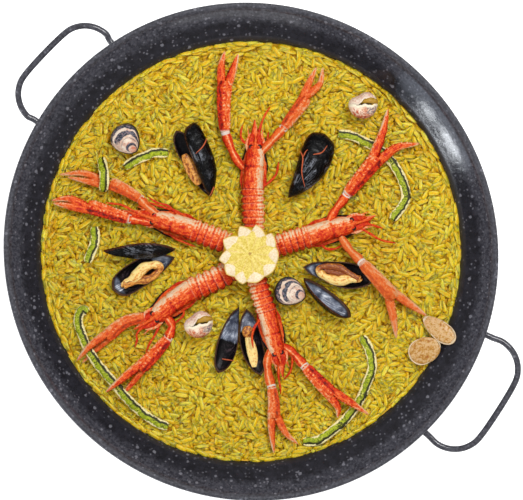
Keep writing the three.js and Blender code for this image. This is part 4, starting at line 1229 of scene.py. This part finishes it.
# %% Make a shell and its meat
def make_shell(finishes, node, size, umbo, heading, roll=0, pitch=0, lift=0, shut=False, sides=None,
               pearl=0, far=2, shade=0, worn=None, threads=(), tongues=(), ring=None):
    family = "mussel" if node.startswith("mussel") else "striped" if shut else "clam"
    rings, marks = valve_rings(*size, sides)
    marks["pearl"] = ease((pearl - marks["along"]) / 0.16 + 0.5)
    marks["pearl"] *= 1 - shade * ease((2.5 - rings[..., 1]) / 4)
    marks["pearl"] += 0.7 * ease((marks["along"] - far) / 0.1 + 0.5)
    whole = np.concatenate([rings, mirrored(rings)]) if shut else rings
    drop = REST + lift - turned(whole, umbo, heading, roll, pitch)[..., 2].min()

    def to_place(points):
        return turned(points, umbo, heading, roll, pitch, drop)

    # A spot where more grey sheen is painted on, as a painted reflection.
    if worn:
        x, y, reach = worn
        spot = to_place(rings)
        marks["worn"] = np.exp(-((spot[..., 0] - x) ** 2 + (spot[..., 1] - y) ** 2) / reach ** 2)
    skin = Skin()
    skin.grid(to_place(rings), **marks)
    if shut:
        skin.grid(to_place(mirrored(rings) + (0, 0, 0.25))[:, ::-1],
                  **{k: v[:, ::-1] for k, v in marks.items()})
    for line in threads:
        limb(skin, draped(line, to_place(whole)), [0.45, 0.7, 0.5, 0.25], sides=6, steps=24, thread=1)
    slot = {"mussel": "mussel_shell", "striped": "clam_striped", "clam": "clam_shell"}[family]
    place(f"{node}_shell", skin.mesh(node), finishes[family], slot, node)
    flesh = Skin()
    for lobe in tongues:
        tongue(flesh, to_place, size[0], size[2], **lobe)
    if ring:
        mantle(flesh, to_place, size[0], size[2], **ring)
    if flesh.count:
        name = "mussel_meat" if family == "mussel" else "clam_meat"
        place(f"{node}_flesh", flesh.mesh(node), finishes[name], name, f"{node}_meat")


# %% Clams that stand on their hinge
STANDING_CLAMS = [("clam_2", (104.7, 137.4), 2), ("clam_4", (-49.2, -67.5), 14)]
CLAM_HEIGHT, CLAM_WIDTH = 23.5, 31
# Each valve: which side it is on, its depth, how far it gapes and where its lip is widest.
VALVES = {"front": (-1, 12.8, 0.6, 0), "back": (1, 9.0, 5.0, 5.5)}
# The meat's path in the mouth, across, outwards and up from the hinge.
MOUTH_ARCH = [(-4, 1.4, 14.5), (0, 2.6, 19), (5, 3.2, 21), (10, 2.6, 19.5), (13, 1.4, 14.5)]


def standing_valve(side, deep, gape, skew):
    """One valve with its lips up; the gape closes towards both ends of the mouth."""
    rings, marks = valve_rings(CLAM_HEIGHT, CLAM_WIDTH, deep, dome_powers=(2.0, 0.5))
    x, y, z = np.moveaxis(rings, -1, 0)
    across, out, up = side * -y, -side * z, x
    half = CLAM_WIDTH / 2
    off = (across - skew) / np.where(across > skew, half - skew, 9.5)
    open_here = up / CLAM_HEIGHT * np.clip(1 - off ** 2, 0, 1)
    wavy = 0.7 * np.sin(across * 0.55 + 1) + 0.4 * np.sin(across * 1.3)
    out = out + side * gape * open_here + wavy * marks["edge"] ** 6
    return np.stack([across, out, up], -1), dict(marks, back=float(side > 0), right=across / half)


def make_standing_clam(finishes, name, at, heading):
    """Hinge below and lips above; the valves meet at both ends of the mouth and gape between."""
    halves = {label: standing_valve(*spec) for label, spec in VALVES.items()}
    drop = REST - min(points[..., 2].min() for points, _ in halves.values())
    for label, (points, marks) in halves.items():
        skin = Skin()
        skin.grid(turned(points, at, heading, drop=drop), **marks)
        place(f"{name}_{label}_shell", skin.mesh(name), finishes["rosy"], "clam_shell", f"{name}_{label}")
    steps, angles = 40, turns(18)
    path, ahead = spline(MOUTH_ARCH, steps)
    thick = 2.9 * np.sin(np.pi * np.linspace(0.06, 0.94, steps)) ** 0.4
    rings = rings_along(path, ahead, thick, thick * 1.1, angles)
    rings = raised(rings, lumps(rings, 2.4, 5.0) * 0.5, (1, 1, 1))
    skin = Skin()
    skin.grid(turned(rings, at, heading, drop=drop), tint=0.55, run=np.arange(steps)[:, None] * 0.7,
              turn=angles * 3, olive=0.7)
    place(f"{name}_flesh", skin.mesh(name), finishes["clam_meat"], "clam_meat", f"{name}_meat")


# %% [markdown]
# ### Shell finishes
#
# A mussel is blue-black outside, with fine growth lines and a painted grey sheen, a painted
# reflection, strongest on a given spot. Inside it is pearl that darkens to blue towards the rim,
# with painted white highlights. Clams are chalky, banded with grey, and pink at the umbo. The
# growth mark draws the lines, and a slow noise makes each of them wander.

# %% Mussel finish
def mussel_finish():
    f = Finish("mussel_shell")
    grow, inside, edge, pearl, ray = f.marks("grow", "inside", "edge", "pearl", "ray")
    slow, fine = f.noise(9, 3), f.noise(2.0, 3, 0.75)
    lines = ((grow * 70 + slow * 7).sin() * 0.5 + 0.5) * fine.step(0.35, 0.65)
    streak = f.streaks(ray * 64, grow * 2, 0.7)
    # Painted reflection: grey streaks of sheen on the black outside, stronger on the given spot.
    sheen = (f.noise(17, 2) + f.mark("worn") * 0.25 - 0.07).step(0.52, 0.66)
    sheen = sheen * (streak + (fine - 0.5) * 0.4).step(0.5, 0.6)
    outside = f.layers((3, 3, 4), (lines * 0.4, (24, 22, 24)), (sheen * 0.6, (150, 154, 164)),
                       ((edge + (fine - 0.5) * 0.2).step(0.93, 1.0) * 0.7, (96, 52, 30)))
    # Painted highlights: the white streaks on the pearl.
    silver = f.layers((50, 54, 70), (slow.step(0.3, 0.7), (134, 142, 160)),
                      ((streak + (slow - 0.5) * 0.6).step(0.56, 0.68) * 0.8, (238, 242, 248)))
    share = (pearl + (slow - 0.5) * 0.7 + (streak - 0.5) * 0.5).step(0.35, 0.65) * edge.step(0.97, 0.86)
    lining = f.layers((12, 10, 13), (slow.step(0.45, 0.7) * lines, (70, 56, 62)), (share, silver),
                      ((edge + (fine - 0.5) * 0.1).step(0.93, 0.98) * 0.75, (92, 66, 50)))
    colour = f.layers(outside, (inside, lining), (f.mark("thread"), (196, 96, 60)))
    return f.surface(Base_Color=colour, IOR=1.22, Roughness=(lines * 0.15 + fine * 0.2 + 0.12),
                     Normal=f.bump(lines * (1 - inside) + fine * 0.7 + streak * 0.6, 0.6, 0.5))


# %% Clam finishes
def striped_chalk(f, slow, fine):
    """Cream with grey ribbons that follow the growth lines, rosy at the umbo and dark at the edge."""
    grow, inside, edge, ray = f.marks("grow", "inside", "edge", "ray")
    rosy = (grow * 44 + slow * 12).sin().step(-0.2, 0.5) * grow.step(0.3, 0.52, 1, 0)
    ribbon = (grow * 27 + slow * 7 - 1.7).sin().step(-0.6, -0.2)
    ribbon = ribbon * (grow + (slow - 0.5) * 0.5).step(0.46, 0.56)
    ribbon = ribbon + grow.step(0.24, 0.27) * grow.step(0.36, 0.33)
    patch = (ray + (slow - 0.5) * 0.5).step(0.62, 0.74, 1, 0)
    return f.layers((236, 218, 198), (slow.step(0.38, 0.6), (212, 180, 158)),
                    (rosy * f.noise(6, 2).step(0.4, 0.6) * 0.9, (206, 104, 66)),
                    (grow.step(0.1, 0.4, 0.5, 0), (222, 150, 122)),
                    (ribbon * patch, f.mix(fine.step(0.42, 0.62), (36, 38, 48), (112, 116, 130))),
                    (fine.step(0.56, 0.66) * 0.7, (186, 108, 78)),
                    ((edge + (fine - 0.5) * 0.1).step(0.9, 0.96) * (1 - inside), (36, 28, 26)))


def clam_finish(name, striped):
    f = Finish(name)
    grow, inside, edge = f.marks("grow", "inside", "edge")
    slow, fine = f.noise(7, 3), f.noise(1.8, 3, 0.75)
    lines = (grow * 60 + slow * 4).sin() * 0.5 + 0.5
    if striped:
        chalk = striped_chalk(f, slow, fine)
    else:
        chalk = f.layers((220, 192, 158), (slow.step(0.35, 0.65), (190, 154, 114)),
                         (lines * 0.3, (176, 136, 104)))
    lining = f.mix((edge + (fine - 0.5) * 0.2).step(0.72, 0.9), (224, 190, 150), (240, 222, 186))
    return f.surface(Base_Color=f.mix(inside, chalk, lining), Roughness=fine.step(0.3, 0.7, 0.3, 0.5),
                     IOR=1.36, Normal=f.bump(lines + fine * 0.7, 0.6, 0.4))


def rosy_finish():
    """Pink rays run from a painted dark red, a painted shade where the front dome turns under, to the cream
    lips; the back valve is paler.
    """
    f = Finish("rosy_clam")
    grow, inside, edge, along = f.marks("grow", "inside", "edge", "along")
    ray, back, right = f.marks("ray", "back", "right")
    rays = f.streaks(ray * 22, grow * 4, 0.7)
    fine, slow = f.noise(1.7, 3, 0.7), f.noise(8, 2)
    rings = (grow * 55 + slow * 5).sin() * 0.5 + 0.5
    clean = edge.step(0.99, 0.9)
    # Painted shade: dark red where the front valve's dome turns away and under.
    dome_turn_shade = (edge + (rays - 0.5) * 0.8).step(0.72, 0.42) * (1 - back)
    specks = (fine + (rays - 0.5) * 0.8).step(0.52, 0.62) * clean
    bruise = right.step(0.1, 0.3) * right.step(0.85, 0.7) * edge.step(0.7, 0.8) * (1 - back)
    lip = (edge + (fine - 0.5) * 0.03).step(0.97, 0.99) * (1 - back * 0.6)
    # Painted shade: near black at both ends of the mouth, where the valves meet.
    corner = along.step(0.3, 0.42) * along.step(0.62, 0.5) * edge.step(0.84, 0.94)
    colour = f.layers((250, 230, 204), (slow.step(0.35, 0.65), (236, 194, 160)),
                      (rays.step(0.5, 0.64) * clean * 0.8, (226, 116, 62)),
                      (back * 0.8, f.mix(fine.step(0.4, 0.6), (240, 222, 204), (224, 194, 172))),
                      (rings * fine.step(0.3, 0.6) * 0.3, (186, 134, 120)),
                      (dome_turn_shade * fine.step(0.35, 0.55, 0.4, 1), (176, 54, 26)),
                      (specks * (0.8 - back * 0.5), (190, 78, 38)),
                      (bruise * fine.step(0.4, 0.55) * 0.8, (104, 108, 118)),
                      (lip, (250, 236, 206)), (corner, (24, 16, 14)))
    lining = f.mix(fine, (176, 136, 60), (110, 70, 24))
    return f.surface(Base_Color=f.mix(inside, colour, lining), Roughness=fine.step(0.3, 0.7, 0.35, 0.55),
                     IOR=1.32, Normal=f.bump(rings * 0.6 + fine + rays, 0.7, 0.6))


# %% Flesh finish
def flesh_finish(name, cream, gold, brown, mottle):
    """The tint mark leads from cream over gold to brown; fine stripes run along each lobe."""
    f = Finish(name)
    stripe, fine = f.streaks(f.mark("run") * 0.1, f.mark("turn") * 0.8, 0.65), f.noise(2.0, 3, 0.75)
    level = f.mark("tint") + (stripe - 0.5) * 3 + (fine - 0.5) * mottle
    colour = f.layers(cream, (level.step(0.0, 0.55), gold), (level.step(0.6, 1.25) * 0.9, brown),
                      (f.mark("olive"), (178, 138, 22)))
    return f.surface(Base_Color=colour, Roughness=fine.step(0.3, 0.7, 0.2, 0.42), Subsurface_Weight=0.15,
                     Subsurface_Radius=(1.0, 0.5, 0.2), Subsurface_Scale=1.2 * MM, IOR=1.38,
                     Normal=f.bump(stripe + fine * 0.6, 0.6, 0.6))


SHELL_FINISHES = {
    "mussel": mussel_finish(),
    "striped": clam_finish("banded_clam", True),
    "clam": clam_finish("pale_clam", False),
    "rosy": rosy_finish(),
    "mussel_meat": flesh_finish("mussel_flesh", (246, 218, 140), (222, 150, 62), (120, 42, 16), 2.2),
    "clam_meat": flesh_finish("clam_flesh", (212, 174, 124), (188, 136, 56), (150, 74, 26), 4),
}
for spec in SHELLS:
    make_shell(SHELL_FINISHES, **spec)
for spec in STANDING_CLAMS:
    make_standing_clam(SHELL_FINISHES, *spec)

# %% [markdown]
# ## Pepper strips
#
# A strip cut from a green pepper lies on its cut edge: a line of dark skin, a bright green body
# and pale flesh on both borders. One section with those bands is swept along each strip, and the
# place across the section is kept as a mark, so that the finish can colour the bands.

# %% Strips
# Points are x, y and the height above the rice.
STRIPS = [
    [(-118.5, 79.5, 0), (-108.5, 86, 0), (-97.5, 90.5, 0), (-92, 93, 0), (-78, 92.5, 0)],
    [(-140.5, 88, 0), (-139, 81, 6), (-137.5, 73.5, 10.5), (-137, 65, 10.5), (-139, 57, 5)],
    [(-147, 23.5, 0), (-146.5, 11, 0), (-154, -10, 0)],
    [(-153.5, -57, 0), (-158, -54.5, 0), (-162.5, -63.5, 0), (-159.5, -76, 0), (-155, -87, 3.5),
     (-150, -96, 5.2), (-145, -104, 4), (-138, -112.5, 2), (-128, -124, 4), (-120.5, -133, 5.2),
     (-112, -142, 3), (-103.5, -150.5, 0), (-87.5, -161, 0), (-78, -164.5, 0)],
    [(104.5, -79.5, 0), (111.5, -93.5, 0), (114, -108.5, 0), (109, -123.5, 0), (101.5, -141, 0),
     (91.5, -154.5, 0), (77.5, -167.5, 0), (62.5, -177.5, 0), (49, -178.5, 0)],
    [(82, 111, 0), (92.5, 109.5, 0), (111.5, 101, 0), (125, 92.5, 0), (136, 79, 0), (144, 62.5, 0),
     (145, 48.5, 0), (132.5, 30, 0)],
]
STRIP_HALF_WIDTH, STRIP_HALF_HEIGHT = 4.5, 1.7
STRIP_STEP = 1.1


def make_strips(finish):
    angles = turns(28)
    across = np.cos(angles)
    wide = np.abs(np.sign(across) * np.abs(across) ** 0.7 / across)
    groove = bell(across, 0.42, 0.12) + 0.6 * bell(across, -0.6, 0.14)
    for number, points in enumerate(STRIPS, 1):
        length = length_of(points)
        steps = int(length / STRIP_STEP)
        path, ahead = spline(np.array(points, float) + (0, 0, REST + STRIP_HALF_HEIGHT), steps)
        taper = 0.72 + 0.28 * ease(np.minimum(np.arange(steps), np.arange(steps)[::-1]) / 3)
        high = STRIP_HALF_HEIGHT * (1 - 0.35 * groove)[None, :] * np.ones((steps, 1))
        rings = rings_along(path, ahead, STRIP_HALF_WIDTH * taper[:, None] * wide, high, angles)
        rings = raised(rings, lumps(rings, 3.5) * 0.45, (1, 1, 0.5))
        skin = Skin()
        skin.grid(rings, across=across, along=np.linspace(0, length, steps)[:, None])
        place(f"pepper_cut_{number}", skin.mesh("pepper"), finish, "pepper", f"pepper_strip_{number}")


# %% Pepper finish
def pepper_finish():
    f = Finish("green_pepper")
    across, along = f.marks("across", "along")
    drift = f.add("ShaderNodeTexNoise", dict(noise_dimensions="1D"), W=along * 0.06, Scale=1.0, Detail=2.0)
    jag, fine = f.noise(3.0, 3, 0.75), f.noise(1.5, 3, 0.7)
    wavy = across + (jag - 0.5) * 0.6 + (drift - 0.5) * 0.7
    edge = (abs(across) + (jag - 0.5) * 0.9 + (drift - 0.5) * across * 2.4).step(0.52, 0.72)
    colour = f.layers((116, 132, 4), (fine.step(0.35, 0.65), (180, 190, 28)),
                      (jag.step(0.56, 0.66) * 0.7, (214, 206, 112)),
                      ((fine + (drift - 0.5) * 0.8).step(0.43, 0.33) * 0.85, (62, 62, 8)),
                      (wavy.step(0.08, 0.24) * fine.step(0.25, 0.45, 0.6, 1), (44, 42, 8)),
                      (wavy.step(-0.5, -0.62) * fine.step(0.42, 0.52) * 0.8, (62, 58, 12)),
                      (edge * fine.step(0.3, 0.5, 0.5, 1), (244, 230, 168)))
    return f.surface(Base_Color=colour, Roughness=fine.step(0.3, 0.7, 0.28, 0.45), IOR=1.32,
                     Normal=f.bump(jag + fine * 0.6, 0.7, 0.8))


make_strips(pepper_finish())

# %% [markdown]
# ## The lemon
#
# Half a lemon cut in a zigzag by hand: ten points of pith, each of its own width, and between two
# of them a notch where the pulp reaches the edge. The outline is interpolated between points and
# notches, the place within a petal shapes both its leaf of pith and its slope, and the rest is a
# polar grid that goes on under the edge as the rind.

# %% Lemon
# Angle in degrees and radius in mm of each point of the cut and of the notch after it.
LEMON_POINTS = [(4.3, 25.9), (44, 27.6), (78.5, 27.3), (110.4, 26.7), (152.5, 27.7), (191, 29),
                (222, 28.6), (257, 29.1), (284, 27.2), (321, 26.5)]
LEMON_NOTCHES = [(13.5, 25), (49.5, 22.4), (85.8, 21.4), (125, 19.6), (172, 22.2), (202.5, 25.8),
                 (236, 26.2), (263.3, 26.6), (302, 25.6), (338.2, 26.8)]
LEMON_PLACE = (-1.0, -1.7)
CUT_HEIGHT, RIND_RADIUS = 24, 26.4
LEAF_SHARE, LEAF_RADIUS = 0.36, 27  # a leaf of pith reaches in by that share of this radius
# Share of the radius, drop under the cut and share of the zigzag of each ring of the rind.
RIND = [(1.0, 1.0, 0.9), (0.995, 3, 0.6), (0.96, 6, 0.2), (0.86, 9.5, 0), (0.66, 12, 0), (0.42, 13.2, 0),
        (0.04, 13.4, 0)]


def make_lemon(finish):
    sides = 240
    ring, angle = circle(sides), np.linspace(0, TURN, sides, endpoint=False)
    degrees = np.degrees(angle)
    notches = [a for a, _ in LEMON_NOTCHES]
    around = (degrees - notches[0]) % 360 + notches[0]
    within = np.interp(around, [*notches, notches[0] + 360], np.arange(len(notches) + 1)) % 1
    arch = np.sin(math.pi * within) ** 0.7
    edge = np.interp(degrees, *zip(*sorted(LEMON_POINTS + LEMON_NOTCHES)), period=360) + 0.7 * arch
    rows = []
    for share in np.linspace(0.03, 1, 40):
        petal = (share - 1 + LEAF_SHARE * arch) * LEAF_RADIUS
        z = CUT_HEIGHT + 0.4 * share + 1.5 * arch * np.clip(petal / 9, 0, 1) - 2.2 * (1 - arch) * share ** 8
        z = z + 0.35 * np.cos(10 * angle) * ease(share / 0.3) * ease(-petal / 3)
        rows.append((level_ring(ring, share * edge, z), share, petal))
    top = rows[-1][0][:, 2]
    for share, drop, cut in RIND:
        z = np.minimum(top * cut + CUT_HEIGHT * (1 - cut) - drop, top - 0.6)
        radius = share * (edge * cut + RIND_RADIUS * (1 - cut))
        rows.append((level_ring(ring, radius, z), 1.3, 9.0 + 0 * arch))
    rings, shares, petals = (np.array(column) for column in zip(*rows[::-1]))
    skin = Skin()
    skin.grid(rings + (*LEMON_PLACE, REST), share=shares[:, None], petal=petals, turn=angle)
    place("lemon_half", skin.mesh("lemon"), finish, "lemon", "lemon")


# %% Lemon finish
def lemon_finish():
    f = Finish("cut_lemon")
    share, turn, petal = f.marks("share", "turn", "petal")
    fine, slow = f.noise(1.6, 3, 0.7), f.noise(5, 2)
    seam = abs((turn * 5 + slow * 1.1).sin()).step(0.04, 0.2, 1, 0) * share.step(0.08, 0.25) * 0.5
    pulp = f.layers((214, 184, 62), (fine.step(0.38, 0.62), (238, 218, 118)), (seam, (236, 200, 150)),
                    ((share + (fine - 0.5) * 0.1).step(0.07, 0.03), (180, 136, 50)))
    pith = f.mix(fine.step(0.4, 0.6), (232, 206, 160), (244, 228, 196))
    outline = (share + (fine - 0.5) * 0.03).step(0.945, 0.98)
    colour = f.layers(pulp, ((petal + (fine - 0.5) * 1.6).step(-0.5, 0.5), pith),
                      (outline * 0.8, (218, 180, 52)), (share.step(1.1, 1.2), (214, 178, 30)))
    return f.surface(Base_Color=colour, Roughness=fine.step(0.3, 0.7, 0.3, 0.5), Subsurface_Weight=0.12,
                     Subsurface_Radius=(1, 0.8, 0.3), Subsurface_Scale=1.5 * MM,
                     Normal=f.bump(fine + slow * 0.5, 0.5, 0.6))


make_lemon(lemon_finish())

# %% [markdown]
# ## Studio
#
# The camera looks straight down from two metres, so that the dish fills the frame. A broad soft
# light over the table with a window-like panel at the upper right gives the enamel its pale band,
# which the enamel's finish paints in as well.
# Lights are placed in metres.

# %% Floor
def make_floor():
    f = Finish("white_paper")
    paint = f.surface(Base_Color=f.mix(f.noise(40, 3), (250, 250, 250), (255, 255, 255)), Roughness=0.9,
                      Emission_Color=(1, 1, 1, 1), Emission_Strength=0.8)
    half, below = 9.0, -0.0005
    mesh = bpy.data.meshes.new("floor")
    corners = [(-half, -half, below), (half, -half, below), (half, half, below), (-half, half, below)]
    mesh.from_pydata(corners, [], [[0, 1, 2, 3]])
    mesh.materials.append(paint)
    floor = shown("floor", mesh)


# %% Sky and panels
def make_sky():
    """White overhead and grey towards the horizon, which the leaning wall mirrors."""
    world = bpy.data.worlds.new("sky")
    world.use_nodes = True
    world.node_tree.nodes.clear()
    g = Graph(world.node_tree)
    up = g.add("ShaderNodeSeparateXYZ", None, g.add("ShaderNodeTexCoord", out="Generated"), out="Z")
    glow = up.step(0.1, 0.9, 0.1, 0.86)
    g.add("ShaderNodeOutputWorld", None, g.add("ShaderNodeBackground", None, (1, 1, 1, 1), glow))
    bpy.context.scene.world = world


def add_panel(name, at, aim, size, power, colour=(1, 1, 1)):
    light = bpy.data.lights.new(name, "AREA")
    light.shape = "RECTANGLE"
    light.size, light.size_y = size
    light.energy = power
    light.color = colour
    panel = shown(name, light)
    panel.location = at
    panel.rotation_euler = (Vector(aim) - Vector(at)).to_track_quat("-Z", "Y").to_euler()


FLANGE_RADIUS, FLANGE_HEIGHT = 0.21, 0.035


def add_reflection(heading, rise, reach, size, power, colour):
    """A panel that the flange mirrors at that heading; rise is its angle over the horizon."""
    turn, tilt = math.radians(heading), math.radians(rise)
    spot = Vector((FLANGE_RADIUS * math.cos(turn), FLANGE_RADIUS * math.sin(turn), FLANGE_HEIGHT))
    away = Vector((-math.cos(turn) * math.cos(tilt), -math.sin(turn) * math.cos(tilt), math.sin(tilt)))
    add_panel("mirrored", spot + away * reach, spot, size, power, colour)


def make_studio():
    make_sky()
    bpy.context.scene.view_settings.view_transform = "Standard"
    cool, blue, white = (0.92, 0.96, 1.0), (0.75, 0.85, 1.0), (1, 1, 1)
    add_panel("key", (0.5, 0.8, 1.7), (0, 0, 0), (0.5, 0.5), 20)
    add_reflection(28.6, 13.6, 1.9, (0.25, 0.15), 3.2, cool)
    add_reflection(38.2, 14.2, 1.9, (0.13, 0.13), 1.2, cool)
    add_reflection(35, 9, 2.1, (0.9, 0.56), 3.8, blue)
    add_reflection(92, 9.5, 2.1, (1.1, 0.58), 2.6, white)


# %% Camera
FRAME_PX = (523, 500)
PAN_MIDDLE_PX = (251.0, 251.7)
MM_PER_PX = 0.9274  # at the height of the rim
CAMERA_HEIGHT = 2142
SENSOR = 36


def make_camera():
    """The middle of the pan falls on its own pixel of the frame."""
    data = bpy.data.cameras.new("camera")
    data.sensor_width = SENSOR
    data.lens = SENSOR * (CAMERA_HEIGHT - PAN_HEIGHT) / (FRAME_PX[0] * MM_PER_PX)
    data.shift_x = (FRAME_PX[0] / 2 - PAN_MIDDLE_PX[0]) / FRAME_PX[0]
    data.shift_y = (PAN_MIDDLE_PX[1] - FRAME_PX[1] / 2) / FRAME_PX[0]
    camera = shown("camera", data)
    camera.location = (0, 0, CAMERA_HEIGHT * MM)
    bpy.context.scene.camera = camera
    print("lens", round(data.lens, 1), "mm")


make_floor()
make_studio()
make_camera()
